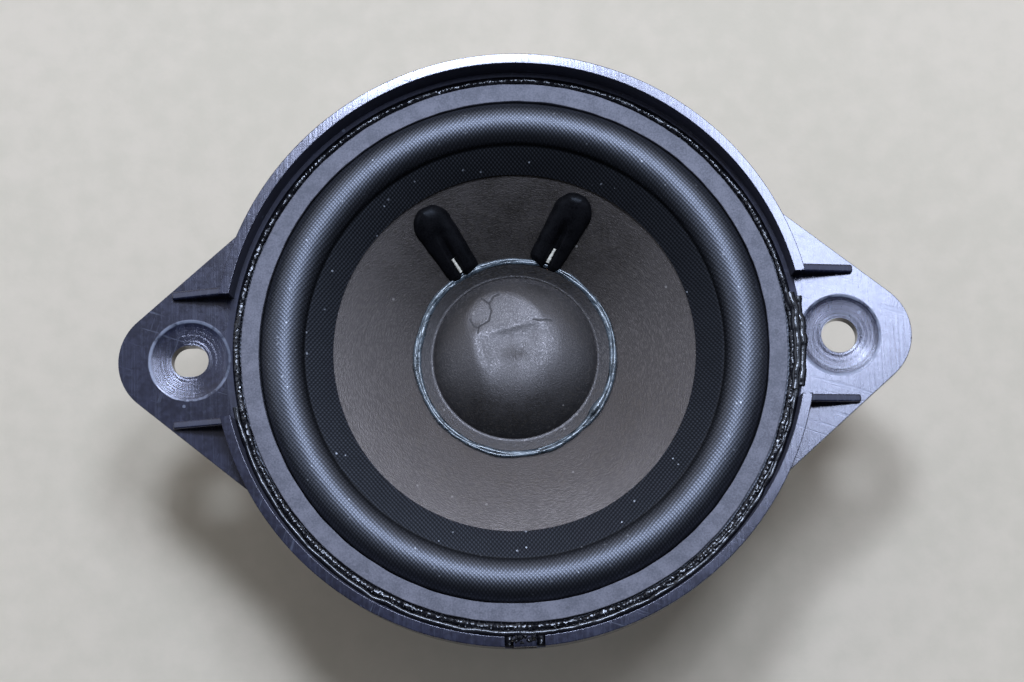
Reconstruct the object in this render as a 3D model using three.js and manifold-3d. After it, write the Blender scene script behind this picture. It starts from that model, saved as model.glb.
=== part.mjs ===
// A small car dashboard loudspeaker: moulded two-eared basket, ferrite motor, voice coil,
// spider, paper cone with a rubberised-cloth surround, and a terminal block.
// Millimetres, +Z towards the listener, origin at the centre of the yoke's rear face.
import * as THREE from "three";
import { mergeVertices } from "three/addons/utils/BufferGeometryUtils.js";
import Module from "manifold-3d";

const wasm = await Module();
wasm.setup();

// ---------------------------------------------------------------- driving dimensions
const EAR_PITCH_HALF = 48; // speaker axis to each fixing hole
const EAR_TIP = 58.6; // speaker axis to the end of an ear
const EAR_TIP_RADIUS = 8;
const EAR_EDGE_ANGLE = THREE.MathUtils.degToRad(40); // slope of an ear's straight edges
const EAR_EDGE_OFFSET = 40.5; // speaker axis to an ear's straight edge
const EAR_THICKNESS = 3;
const RIM_RADIUS = 44;
const RIM_WALL = 1.6;
const RIM_TOP_Z = 41;
const RIM_HEIGHT = 4; // above the ears' front face
const RIM_GAP_HALF = 9.1; // half the gap in the rim at each ear
const RIM_DRAFT = 0.2;
const NOTCH_WIDTH = 5.8;
const NOTCH_TAB_WIDTH = 3.4;
const NOTCH_TAB_DROP = 1.8; // below the top of the rim
const GUSSET_THICKNESS = 1.2;
const GUSSET_OUTER_X = 50.4;
const GUSSET_TOE = 0.9; // height of a gusset's outer end above the ear
const FIXING_HOLE = { length: 5.3, width: 5.2 };
const FIXING_SLOT = { length: 5.5, width: 4.7 };
const SCREW_SEAT = { radius: 6, floorRadius: 5.1, lipDepth: 0.8, depth: 1.1 };
const FLOOR_BORE_RADIUS = 14.5;
const FLOOR_EDGE_RADIUS = 26.4;
const WALL_FOOT_RADIUS = 27.8;
const WALL_TOP_RADIUS = 33;
const SHOULDER_RADIUS = 38.6; // where the wall turns out to the flange
const FLANGE_NECK_RADIUS = 40.6;
const SEAT_INNER_RADIUS = 37.2;

const YOKE_RADIUS = 23;
const YOKE_PLATE = 4;
const YOKE_CHAMFER = 0.7;
const POLE_RADIUS = 9.6;
const MAGNET_OUTER_RADIUS = 26;
const MAGNET_INNER_RADIUS = 13;
const MAGNET_HEIGHT = 9;
const MAGNET_CHAMFER = 0.6;
const TOP_PLATE_HEIGHT = 4;
const TOP_PLATE_BORE = 11.2;

const FORMER_INNER_RADIUS = 9.9;
const FORMER_WALL = 0.25;
const COIL_HEIGHT = 6;
const COIL_THICKNESS = 0.5;
const LEAD_OUT_RADIUS = 0.13;

const CONE_NECK_RADIUS = 10.4;
const CONE_EDGE_RADIUS = 31.3;
const CONE_NECK_Z = 26.9;
const CONE_SLOPE = 0.53;
const CONE_FLARE = 0.0042;
const CONE_THICKNESS = 0.5;

const SURROUND_THICKNESS = 0.4;
const SURROUND_OUTER_RADIUS = 41.2;
const ROLL_OUTER_RADIUS = 37.5;
const ROLL_INNER_RADIUS = 31.1;
const ROLL_HEIGHT = 2.9;
const ROLL_STEPS = 7;
const SKIRT_INNER_RADIUS = 26.9;
const GASKET_INNER_RADIUS = 37.7;
const GASKET_OUTER_RADIUS = 40.4;
const GASKET_THICKNESS = 1;
const SPILL = { outer: 44.2, startDeg: -9, endDeg: 8, lift: 0.1, height: 0.8 }; // adhesive on the right ear
const SEAT_DEPTH = 1; // step in the flange that the surround's edge lies in

const CAP_BRIM_RADIUS = 14.3;
const CAP_DOME_RADIUS = 12.4;
const CAP_DOME_HEIGHT = 4.6;
const CAP_THICKNESS = 0.4;

const LEAD_ANGLES = { left: 119.3, right: 67.8 }; // degrees about the axis, from +X
const LEAD_BEAD_START = 15.6;
const LEAD_BEAD_END = 25.8;
const LEAD_BEAD_WIDTH = 4.8;
const LEAD_BEAD_HEIGHT = 1.3;
const EYELET_RADIUS = 23.2; // speaker axis to each eyelet in the cone
const TINSEL_RADIUS = 0.5;

const SPIDER_LEDGE_INNER = 19.4;
const SPIDER_LEDGE_OUTER = 22.6;
const SPIDER_THICKNESS = 0.4;
const SPIDER_WAVES = 3;
const SPIDER_WAVE_HEIGHT = 0.9;

const BLADE_X = 3.5;
const BLADE_WIDTH = 2.8;
const BLADE_THICKNESS = 0.8;
const BLADE_Z = 23.6;

const TOUCH = 0.1; // clearance between glued sheets
const FIT = 0.3; // clearance round a piece that passes through another
const LARGE_ROUND = 48; // facets round the big rings
const SMALL_ROUND = 28;

// ---------------------------------------------------------------- worked-out levels
const MAGNET_Z = YOKE_PLATE;
const TOP_PLATE_Z = MAGNET_Z + MAGNET_HEIGHT;
const FLOOR_Z = TOP_PLATE_Z + TOP_PLATE_HEIGHT;
const FLOOR_TOP_Z = FLOOR_Z + 2.2;
const LEDGE_Z = FLOOR_TOP_Z + 2.3;
const WINDOW_BOTTOM_Z = FLOOR_TOP_Z + 1.6;
const WINDOW_TOP_Z = 30.6;
const EAR_TOP_Z = RIM_TOP_Z - RIM_HEIGHT;
const EAR_BOTTOM_Z = EAR_TOP_Z - EAR_THICKNESS;
const SEAT_Z = EAR_TOP_Z - SEAT_DEPTH;
const GASKET_Z = SEAT_Z + 0.5;
const RIM_INNER_RADIUS = RIM_RADIUS - RIM_WALL;
const SEAT_RADIUS = 41.6;
const FORMER_OUTER_RADIUS = FORMER_INNER_RADIUS + FORMER_WALL;
const COIL_Z = TOP_PLATE_Z + TOP_PLATE_HEIGHT / 2 - COIL_HEIGHT / 2;
const FORMER_TOP_Z = CONE_NECK_Z + 1;

/** Height of the cone's front face at radius r. */
function coneZ(r) {
  const run = r - CONE_NECK_RADIUS;
  return CONE_NECK_Z + CONE_SLOPE * run - CONE_FLARE * run * run;
}

// ---------------------------------------------------------------- materials
function material(color, roughness, metalness = 0) {
  return new THREE.MeshStandardMaterial({ color, roughness, metalness });
}

const MATERIALS = {
  plastic: material(0x1d2030, 0.42),
  cloth: material(0x17181b, 0.5),
  card: material(0x5b5a5e, 0.95),
  paper: material(0x3d3835, 0.95),
  capPaper: material(0x3a3738, 0.9),
  adhesive: material(0x050506, 0.12),
  clearAdhesive: material(0x23262d, 0.15),
  zincSteel: material(0x9fa2a6, 0.35, 1),
  ferrite: material(0x2b2b2d, 0.7),
  copper: material(0x9c5b2e, 0.35, 1),
  kapton: material(0x8a5a24, 0.5),
  spiderCloth: material(0xb98d4a, 0.9),
  brass: material(0xb79a5a, 0.35, 1),
  solder: material(0xa6a8ab, 0.3, 1),
  tinsel: material(0xa77a4d, 0.55, 0.6),
  blockPlastic: material(0x222326, 0.5),
};

// ---------------------------------------------------------------- solids
/** A closed geometry as a manifold solid. */
function solidOf(geometry) {
  const bare = geometry.index ? geometry.toNonIndexed() : geometry.clone();
  bare.deleteAttribute("normal");
  bare.deleteAttribute("uv");
  const merged = mergeVertices(bare, 1e-4);
  return new wasm.Manifold(
    new wasm.Mesh({
      numProp: 3,
      vertProperties: merged.attributes.position.array,
      triVerts: new Uint32Array(merged.index.array),
    }),
  );
}

/** A manifold solid as a three.js geometry. */
function geometryOf(solid) {
  const mesh = solid.getMesh();
  return new THREE.BufferGeometry()
    .setAttribute("position", new THREE.BufferAttribute(mesh.vertProperties, 3))
    .setIndex(new THREE.BufferAttribute(mesh.triVerts, 1));
}

/** Turns a profile of [radius, z] points about Z. The profile closes itself unless it ends on the axis. */
function turned(profile, facets = LARGE_ROUND) {
  const last = profile.length - 1;
  const onAxis = profile[0][0] === 0 && profile[last][0] === 0;
  const ring = onAxis ? profile : [...profile, profile[0]];
  let area = 0;
  ring.forEach(([r, z], i) => {
    const [nextR, nextZ] = ring[(i + 1) % ring.length];
    area += r * nextZ - nextR * z;
  });
  const ordered = area > 0 ? ring : [...ring].reverse();
  const points = ordered.map(([r, z]) => new THREE.Vector2(r, z));
  return new THREE.LatheGeometry(points, facets).rotateX(Math.PI / 2);
}

/** Extrudes a shape in the XY plane from z0 to z1. */
function extruded(shape, z0, z1, curveSegments = 12) {
  const depth = z1 - z0;
  return new THREE.ExtrudeGeometry(shape, { depth, bevelEnabled: false, curveSegments }).translate(0, 0, z0);
}

function box([x0, x1], [y0, y1], [z0, z1]) {
  const made = new THREE.BoxGeometry(x1 - x0, y1 - y0, z1 - z0);
  return made.translate((x0 + x1) / 2, (y0 + y1) / 2, (z0 + z1) / 2);
}

function cylinder(radius, z0, z1, facets = SMALL_ROUND) {
  const made = new THREE.CylinderGeometry(radius, radius, z1 - z0, facets).rotateX(Math.PI / 2);
  return made.translate(0, 0, (z0 + z1) / 2);
}

/** A round tube along a smooth line through the points. */
function tube(points, radius, steps, sides) {
  const curve = new THREE.CatmullRomCurve3(points);
  const section = new THREE.Shape();
  for (let i = 0; i < sides; i++) {
    const a = (2 * Math.PI * i) / sides;
    const [x, y] = [radius * Math.cos(a), radius * Math.sin(a)];
    if (i === 0) section.moveTo(x, y);
    else section.lineTo(x, y);
  }
  section.closePath();
  return new THREE.ExtrudeGeometry(section, { steps, extrudePath: curve, bevelEnabled: false });
}

/** A flat ring sector between two radii and two angles in degrees. */
function sector(inner, outer, startDeg, endDeg, z0, z1) {
  const [start, end] = [startDeg, endDeg].map(THREE.MathUtils.degToRad);
  const shape = new THREE.Shape();
  shape.absarc(0, 0, outer, start, end, false);
  shape.absarc(0, 0, inner, end, start, true);
  shape.closePath();
  return extruded(shape, z0, z1, 10);
}

/** A point at a radius, an angle in degrees about the axis, and a height. */
function polar(radius, deg, z) {
  const a = THREE.MathUtils.degToRad(deg);
  return new THREE.Vector3(radius * Math.cos(a), radius * Math.sin(a), z);
}

function cut(solid, ...geometries) {
  return geometries.map(solidOf).reduce((left, tool) => left.subtract(tool), solid);
}

// ---------------------------------------------------------------- assembly
const speaker = new THREE.Group();

function place(name, geometry, finish) {
  const mesh = new THREE.Mesh(geometry, MATERIALS[finish]);
  mesh.name = name;
  speaker.add(mesh);
  return mesh;
}

// ---------------------------------------------------------------- basket
/** Outline of the flange with its two ears. */
function flangeOutline() {
  const tipCentre = EAR_TIP - EAR_TIP_RADIUS;
  const meet = Math.acos(EAR_EDGE_OFFSET / RIM_RADIUS); // edge's foot to where it meets the rim circle
  const normal = Math.PI / 2 - EAR_EDGE_ANGLE;
  const junction = normal + meet;
  const shape = new THREE.Shape();
  shape.absarc(tipCentre, 0, EAR_TIP_RADIUS, -normal, normal, false);
  shape.absarc(0, 0, RIM_RADIUS, junction, Math.PI - junction, false);
  shape.absarc(-tipCentre, 0, EAR_TIP_RADIUS, Math.PI - normal, Math.PI + normal, false);
  shape.absarc(0, 0, RIM_RADIUS, Math.PI + junction, 2 * Math.PI - junction, false);
  shape.closePath();
  return shape;
}

/** Floor, spider ledge, sloping wall, flange and rim, before the windows are cut. */
function basketBowl() {
  return turned([
    [FLOOR_BORE_RADIUS, FLOOR_Z],
    [FLOOR_EDGE_RADIUS, FLOOR_Z],
    [FLOOR_EDGE_RADIUS + 1.2, FLOOR_Z + 1.2],
    [WALL_FOOT_RADIUS, WINDOW_BOTTOM_Z + 0.4],
    [WALL_TOP_RADIUS, WINDOW_TOP_Z],
    [SHOULDER_RADIUS, EAR_BOTTOM_Z - 2],
    [FLANGE_NECK_RADIUS, EAR_BOTTOM_Z],
    [RIM_RADIUS, EAR_BOTTOM_Z],
    [RIM_RADIUS, RIM_TOP_Z],
    [RIM_INNER_RADIUS + RIM_DRAFT / 2, RIM_TOP_Z],
    [RIM_INNER_RADIUS - RIM_DRAFT / 2, EAR_TOP_Z],
    [SEAT_RADIUS, EAR_TOP_Z],
    [SEAT_RADIUS, SEAT_Z],
    [SEAT_INNER_RADIUS, SEAT_Z],
    [SEAT_INNER_RADIUS, SEAT_Z - 2.2],
    [WALL_TOP_RADIUS - 1.6, WINDOW_TOP_Z + 1.6],
    [WALL_FOOT_RADIUS - 2.8, FLOOR_TOP_Z + 1.2],
    [WALL_FOOT_RADIUS - 3.8, FLOOR_TOP_Z],
    [SPIDER_LEDGE_OUTER, FLOOR_TOP_Z],
    [SPIDER_LEDGE_OUTER, LEDGE_Z],
    [SPIDER_LEDGE_INNER, LEDGE_Z],
    [SPIDER_LEDGE_INNER, FLOOR_TOP_Z],
    [FLOOR_BORE_RADIUS, FLOOR_TOP_Z],
  ]);
}

/** Triangular web from the end of the rim down to the edge of an ear. */
function gusset(side, sideY) {
  const profile = new THREE.Shape();
  const [innerX, rootZ] = [RIM_INNER_RADIUS - 0.6, EAR_TOP_Z - 0.5];
  profile.moveTo(innerX, rootZ);
  profile.lineTo(GUSSET_OUTER_X, rootZ);
  profile.lineTo(GUSSET_OUTER_X, EAR_TOP_Z + GUSSET_TOE);
  profile.lineTo(innerX, RIM_TOP_Z - 0.5);
  profile.closePath();
  const web = extruded(profile, 0, GUSSET_THICKNESS).rotateX(Math.PI / 2);
  const y = sideY > 0 ? RIM_GAP_HALF + GUSSET_THICKNESS : -RIM_GAP_HALF;
  return side > 0 ? web.translate(0, y, 0) : web.rotateZ(Math.PI).translate(0, y - GUSSET_THICKNESS, 0);
}

/** Dished seat for a screw head, turned about an ear's hole. */
function screwSeat(x) {
  const dish = turned(
    [
      [0, EAR_TOP_Z + 1],
      [SCREW_SEAT.radius, EAR_TOP_Z + 1],
      [SCREW_SEAT.radius, EAR_TOP_Z],
      [SCREW_SEAT.floorRadius, EAR_TOP_Z - SCREW_SEAT.lipDepth],
      [FIXING_HOLE.width / 2, EAR_TOP_Z - SCREW_SEAT.depth],
      [0, EAR_TOP_Z - SCREW_SEAT.depth],
    ],
    SMALL_ROUND,
  );
  return dish.translate(x, 0, 0);
}

/** Slot with flat sides, longer along X. */
function slotHole(x, { length, width }) {
  const reach = (length - width) / 2;
  const shape = new THREE.Shape();
  shape.absarc(reach, 0, width / 2, -Math.PI / 2, Math.PI / 2, false);
  shape.absarc(-reach, 0, width / 2, Math.PI / 2, (3 * Math.PI) / 2, false);
  shape.closePath();
  return extruded(shape, EAR_BOTTOM_Z - 1, EAR_TOP_Z + 1, 10).translate(x, 0, 0);
}

const WINDOWS = [
  [-25, 25],
  [35, 73],
  [107, 145],
  [155, 205],
  [215, 265],
  [275, 325],
];
const PAD = { halfWidth: 7.5, inner: 27, outer: 33, bottom: 20.6, top: 31 };
const RIVETS = [45, 135, 225, 315];
const RIVET_CIRCLE = 17;
const RIVET_SHANK = 1.2;
const RIVET_HEAD = { radius: 2, shoulder: 1.6, height: 0.9 };

function bladeHole(x) {
  const half = BLADE_WIDTH / 2 + FIT;
  const z = BLADE_THICKNESS / 2 + FIT;
  return box([x - half, x + half], [20, 42], [BLADE_Z - z, BLADE_Z + z]);
}

function basket() {
  const flange = cut(
    solidOf(extruded(flangeOutline(), EAR_BOTTOM_Z, EAR_TOP_Z, LARGE_ROUND / 4)),
    cylinder(42.6, EAR_BOTTOM_Z - 1, EAR_TOP_Z + 1, LARGE_ROUND),
  );
  const rimGaps = [-1, 1].map((side) => {
    const x = side > 0 ? [38, 46] : [-46, -38];
    return box(x, [-RIM_GAP_HALF, RIM_GAP_HALF], [EAR_TOP_Z, RIM_TOP_Z + 1]);
  });
  const notch = box([-NOTCH_WIDTH / 2, NOTCH_WIDTH / 2], [-46, -41.9], [EAR_TOP_Z, RIM_TOP_Z + 1]);
  const tab = box(
    [-NOTCH_TAB_WIDTH / 2, NOTCH_TAB_WIDTH / 2],
    [-43.9, -RIM_INNER_RADIUS],
    [EAR_TOP_Z - 1, RIM_TOP_Z - NOTCH_TAB_DROP],
  );
  const windows = WINDOWS.map(([a, b]) => sector(23.4, 37, a, b, WINDOW_BOTTOM_Z, WINDOW_TOP_Z));
  const pad = box([-PAD.halfWidth, PAD.halfWidth], [PAD.inner, PAD.outer], [PAD.bottom, PAD.top]);
  const bowl = cut(solidOf(basketBowl()), ...windows, ...rimGaps, notch);
  const gussets = [-1, 1].flatMap((side) => [-1, 1].map((sideY) => gusset(side, sideY)));
  const whole = [flange, ...[tab, pad, ...gussets].map(solidOf)].reduce((all, next) => all.add(next), bowl);
  const rivetHoles = RIVETS.map((deg) => {
    const at = polar(RIVET_CIRCLE, deg, 0);
    return cylinder(RIVET_SHANK + FIT, FLOOR_Z - 1, FLOOR_TOP_Z + 1, 12).translate(at.x, at.y, 0);
  });
  const made = cut(
    whole,
    screwSeat(EAR_PITCH_HALF),
    screwSeat(-EAR_PITCH_HALF),
    slotHole(EAR_PITCH_HALF, FIXING_HOLE),
    slotHole(-EAR_PITCH_HALF, FIXING_SLOT),
    bladeHole(BLADE_X),
    bladeHole(-BLADE_X),
    ...rivetHoles,
  );
  return geometryOf(made);
}

place("basket", basket(), "plastic");

// ---------------------------------------------------------------- motor
place(
  "t_yoke",
  turned([
    [0, 0],
    [YOKE_RADIUS - YOKE_CHAMFER, 0],
    [YOKE_RADIUS, YOKE_CHAMFER],
    [YOKE_RADIUS, YOKE_PLATE],
    [POLE_RADIUS, YOKE_PLATE],
    [POLE_RADIUS, FLOOR_Z],
    [POLE_RADIUS - 0.5, FLOOR_Z + 0.5],
    [0, FLOOR_Z + 0.5],
  ]),
  "zincSteel",
);
place(
  "magnet",
  turned([
    [MAGNET_INNER_RADIUS, MAGNET_Z],
    [MAGNET_OUTER_RADIUS - MAGNET_CHAMFER, MAGNET_Z],
    [MAGNET_OUTER_RADIUS, MAGNET_Z + MAGNET_CHAMFER],
    [MAGNET_OUTER_RADIUS, TOP_PLATE_Z - MAGNET_CHAMFER],
    [MAGNET_OUTER_RADIUS - MAGNET_CHAMFER, TOP_PLATE_Z],
    [MAGNET_INNER_RADIUS, TOP_PLATE_Z],
  ]),
  "ferrite",
);

function topPlate() {
  const ring = turned([
    [TOP_PLATE_BORE, TOP_PLATE_Z],
    [YOKE_RADIUS, TOP_PLATE_Z],
    [YOKE_RADIUS, FLOOR_Z],
    [TOP_PLATE_BORE, FLOOR_Z],
  ]);
  const holes = RIVETS.map((deg) => {
    const at = polar(RIVET_CIRCLE, deg, 0);
    return cylinder(RIVET_SHANK + FIT, TOP_PLATE_Z - 1, FLOOR_Z + 1, 12).translate(at.x, at.y, 0);
  });
  return geometryOf(cut(solidOf(ring), ...holes));
}

place("top_plate", topPlate(), "zincSteel");

RIVETS.forEach((deg, i) => {
  const rivet = turned(
    [
      [0, TOP_PLATE_Z],
      [RIVET_SHANK, TOP_PLATE_Z],
      [RIVET_SHANK, FLOOR_TOP_Z],
      [RIVET_HEAD.radius, FLOOR_TOP_Z],
      [RIVET_HEAD.shoulder, FLOOR_TOP_Z + RIVET_HEAD.height - 0.2],
      [0, FLOOR_TOP_Z + RIVET_HEAD.height],
    ],
    12,
  );
  place(`plate_rivet_${i + 1}`, rivet, "zincSteel").position.copy(polar(RIVET_CIRCLE, deg, 0));
});

// ---------------------------------------------------------------- voice coil leads
/** Path of a lead-out wire in its own half-plane, from the top of the winding out along the cone. */
function leadOutPath(deg) {
  const hug = FORMER_OUTER_RADIUS + 0.1 + LEAD_OUT_RADIUS;
  const above = LEAD_OUT_RADIUS + 0.12;
  const onCone = [11.6, 12.6, 13.6, 15, 17.5, 20, EYELET_RADIUS - 1.5];
  return [
    polar(hug, deg, COIL_Z + COIL_HEIGHT + 0.15),
    polar(hug, deg, 20.5),
    polar(hug, deg, 24),
    polar(hug, deg, 26.6),
    polar(hug + 0.15, deg, CONE_NECK_Z + 0.4),
    ...onCone.map((r) => polar(r, deg, coneZ(r) + above)),
  ];
}

const LEAD_STEPS = 18;
const leadSides = Object.entries(LEAD_ANGLES);

/** Clearance for both lead-out wires, as cutting tools. */
function leadChannels() {
  return leadSides.map(([, deg]) => tube(leadOutPath(deg), LEAD_OUT_RADIUS + 0.25, LEAD_STEPS, 6));
}

// ---------------------------------------------------------------- former, winding and glue at the neck
place(
  "voice_coil_former",
  turned(
    [
      [FORMER_INNER_RADIUS, COIL_Z - 0.4],
      [FORMER_OUTER_RADIUS, COIL_Z - 0.4],
      [FORMER_OUTER_RADIUS, FORMER_TOP_Z],
      [FORMER_INNER_RADIUS, FORMER_TOP_Z],
    ],
    SMALL_ROUND,
  ),
  "kapton",
);
const WINDING_INNER = FORMER_OUTER_RADIUS + 0.06;
place(
  "voice_coil_winding",
  turned(
    [
      [WINDING_INNER, COIL_Z],
      [WINDING_INNER + COIL_THICKNESS, COIL_Z],
      [WINDING_INNER + COIL_THICKNESS, COIL_Z + COIL_HEIGHT],
      [WINDING_INNER, COIL_Z + COIL_HEIGHT],
    ],
    SMALL_ROUND,
  ),
  "copper",
);

function neckAdhesive() {
  const under = coneZ(CONE_NECK_RADIUS) - CONE_THICKNESS - TOUCH;
  const ring = turned(
    [
      [FORMER_OUTER_RADIUS + 0.06, under - 1.4],
      [FORMER_OUTER_RADIUS + 0.5, under - 1.4],
      [CONE_NECK_RADIUS + 1.5, coneZ(CONE_NECK_RADIUS + 1.5) - CONE_THICKNESS - TOUCH],
      [CONE_NECK_RADIUS + 0.1, under],
      [FORMER_OUTER_RADIUS + 0.06, under],
    ],
    SMALL_ROUND,
  );
  return geometryOf(cut(solidOf(ring), ...leadChannels()));
}

place("neck_adhesive", neckAdhesive(), "adhesive");

// ---------------------------------------------------------------- cone and dust cap
/** Profile of a sheet that follows the cone's front face between two radii. */
function coneSheet(inner, outer, lift, thickness, steps) {
  const radii = Array.from({ length: steps + 1 }, (_, i) => inner + ((outer - inner) * i) / steps);
  const lower = radii.map((r) => [r, coneZ(r) + lift]);
  const upper = radii.map((r) => [r, coneZ(r) + lift + thickness]).reverse();
  return [...lower, ...upper];
}

/** Puts a piece made on the Z axis on the cone, square to its face, at a radius and an angle. */
function onConeFace(geometry, radius, deg, z) {
  const slope = Math.atan(CONE_SLOPE - 2 * CONE_FLARE * (radius - CONE_NECK_RADIUS));
  geometry.rotateY(-slope).rotateZ(THREE.MathUtils.degToRad(deg));
  const at = polar(radius, deg, z);
  return geometry.translate(at.x, at.y, at.z);
}

function cone() {
  const sheet = turned(coneSheet(CONE_NECK_RADIUS, CONE_EDGE_RADIUS, -CONE_THICKNESS, CONE_THICKNESS, 4));
  const holes = leadSides.map(([, deg]) =>
    onConeFace(cylinder(0.9, -2, 2, 12), EYELET_RADIUS, deg, coneZ(EYELET_RADIUS)),
  );
  return geometryOf(cut(solidOf(sheet), ...holes, ...leadChannels()));
}

place("cone", cone(), "paper");

function dustCap() {
  const brimLift = TOUCH;
  const base = coneZ(CAP_DOME_RADIUS) + brimLift;
  const steps = 5;
  const dome = (radius, height, baseZ) =>
    Array.from({ length: steps + 1 }, (_, i) => {
      const a = (Math.PI / 2) * (i / steps);
      return [i === steps ? 0 : radius * Math.cos(a), baseZ + height * Math.sin(a)];
    });
  const outer = dome(CAP_DOME_RADIUS, CAP_DOME_HEIGHT, base + CAP_THICKNESS);
  const inner = dome(CAP_DOME_RADIUS - CAP_THICKNESS, CAP_DOME_HEIGHT - CAP_THICKNESS + 0.4, base).reverse();
  const profile = [
    ...inner,
    [CAP_BRIM_RADIUS, coneZ(CAP_BRIM_RADIUS) + brimLift],
    [CAP_BRIM_RADIUS, coneZ(CAP_BRIM_RADIUS) + brimLift + CAP_THICKNESS],
    ...outer,
  ];
  return geometryOf(cut(solidOf(turned(profile, SMALL_ROUND)), ...leadChannels()));
}

place("dust_cap", dustCap(), "capPaper");

function capAdhesive() {
  const inner = CAP_BRIM_RADIUS + 0.12;
  const outer = inner + 0.95;
  const ring = turned(
    [
      [inner, coneZ(inner) + TOUCH],
      [outer, coneZ(outer) + TOUCH],
      [outer - 0.2, coneZ(outer) + 0.8],
      [inner, coneZ(inner) + 0.95],
    ],
    SMALL_ROUND,
  );
  return geometryOf(cut(solidOf(ring), ...leadChannels()));
}

place("dust_cap_adhesive", capAdhesive(), "clearAdhesive");

/** Bead of adhesive over a lead-out wire and its eyelet: a rounded strip that follows the cone. */
function leadBead(deg) {
  const half = LEAD_BEAD_WIDTH / 2;
  const strip = new THREE.Shape();
  strip.absarc(LEAD_BEAD_END - half, 0, half, -Math.PI / 2, Math.PI / 2, false);
  strip.lineTo(LEAD_BEAD_START, half);
  strip.lineTo(LEAD_BEAD_START, -half);
  strip.closePath();
  const prism = extruded(strip, 20, 45, 8).rotateZ(THREE.MathUtils.degToRad(deg));
  const layer = turned(coneSheet(14, 26.5, TOUCH, LEAD_BEAD_HEIGHT, 4));
  const pocket = onConeFace(cylinder(1.4, -0.2, 0.75, 10), EYELET_RADIUS, deg, coneZ(EYELET_RADIUS));
  return geometryOf(cut(solidOf(prism).intersect(solidOf(layer)), pocket, ...leadChannels()));
}

const EYELET_PROFILE = [
  [0.25, -1.1],
  [1.1, -1.1],
  [1.1, -0.8],
  [0.55, -0.8],
  [0.55, 0.15],
  [1.1, 0.15],
  [1.1, 0.4],
  [0.25, 0.4],
];

leadSides.forEach(([side, deg]) => {
  place(`lead_out_wire_${side}`, tube(leadOutPath(deg), LEAD_OUT_RADIUS, LEAD_STEPS, 5), "copper");
  place(`lead_adhesive_${side}`, leadBead(deg), "adhesive");
  const eyelet = onConeFace(turned(EYELET_PROFILE, 12), EYELET_RADIUS, deg, coneZ(EYELET_RADIUS));
  place(`cone_eyelet_${side}`, eyelet, "brass");
});

// ---------------------------------------------------------------- surround, gasket and edge adhesive
/** Half-roll between two radii, as [radius, z] points from the flange inwards to the cone's edge. */
function rollArc(outer, inner, lift, steps) {
  const centre = (outer + inner) / 2;
  const reach = (outer - inner) / 2;
  return Array.from({ length: steps + 1 }, (_, i) => {
    const a = (Math.PI * i) / steps;
    const r = centre + reach * Math.cos(a);
    const base = THREE.MathUtils.lerp(SEAT_Z, coneZ(inner) + TOUCH, i / steps);
    return [r, base + lift + ROLL_HEIGHT * Math.sin(a)];
  });
}

function surround() {
  const t = SURROUND_THICKNESS;
  const skirt = (lift) => [
    [30.2, coneZ(30.2) + lift],
    [SKIRT_INNER_RADIUS, coneZ(SKIRT_INNER_RADIUS) + lift],
  ];
  const upper = [
    [SURROUND_OUTER_RADIUS, SEAT_Z + t],
    ...rollArc(ROLL_OUTER_RADIUS, ROLL_INNER_RADIUS, t, ROLL_STEPS),
    ...skirt(TOUCH + t),
  ];
  const lower = [
    [SURROUND_OUTER_RADIUS, SEAT_Z],
    ...rollArc(ROLL_OUTER_RADIUS - t, ROLL_INNER_RADIUS + t, 0, ROLL_STEPS),
    ...skirt(TOUCH),
  ];
  return turned([...upper, ...lower.reverse()]);
}

place("surround", surround(), "cloth");
place(
  "gasket_ring",
  turned([
    [GASKET_INNER_RADIUS, GASKET_Z],
    [GASKET_OUTER_RADIUS, GASKET_Z],
    [GASKET_OUTER_RADIUS, GASKET_Z + GASKET_THICKNESS],
    [GASKET_INNER_RADIUS, GASKET_Z + GASKET_THICKNESS],
  ]),
  "card",
);

/** Ring of adhesive outside the gasket, with the patch that has run out over the right ear. */
function edgeAdhesive() {
  const [inner, outer] = [GASKET_OUTER_RADIUS + 0.1, SEAT_RADIUS - 0.1];
  const ring = turned([
    [inner, GASKET_Z],
    [outer, GASKET_Z],
    [outer, GASKET_Z + 0.7],
    [inner, GASKET_Z + 0.9],
  ]);
  const bottom = EAR_TOP_Z + SPILL.lift;
  const patch = sector(inner + 0.3, SPILL.outer, SPILL.startDeg, SPILL.endDeg, bottom, bottom + SPILL.height);
  return geometryOf(solidOf(ring).add(solidOf(patch)));
}

place("edge_adhesive", edgeAdhesive(), "adhesive");

// ---------------------------------------------------------------- spider
function spider() {
  const t = SPIDER_THICKNESS;
  const inner = FORMER_OUTER_RADIUS + 0.06;
  const perWave = 4;
  const start = inner + 0.9;
  const end = SPIDER_LEDGE_INNER - 0.6;
  const count = SPIDER_WAVES * perWave;
  const wave = Array.from({ length: count + 1 }, (_, i) => {
    const r = start + ((end - start) * i) / count;
    return [r, LEDGE_Z + SPIDER_WAVE_HEIGHT * Math.sin((2 * Math.PI * i) / perWave)];
  });
  const line = [[inner, LEDGE_Z], ...wave, [SPIDER_LEDGE_OUTER - 0.2, LEDGE_Z]];
  const lower = line.map(([r, z]) => [r, z]);
  const upper = line.map(([r, z]) => [r, z + t]).reverse();
  const solid = solidOf(turned([...lower, ...upper], SMALL_ROUND));
  return geometryOf(cut(solid, ...leadChannels()));
}

place("spider", spider(), "spiderCloth");

// ---------------------------------------------------------------- terminal block, blades and tinsel leads
const BLOCK = { halfWidth: 7.2, inner: 33, outer: 41.4, bottom: 20.6, top: 30.2, wall: 1.2, web: 1.6 };

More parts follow.
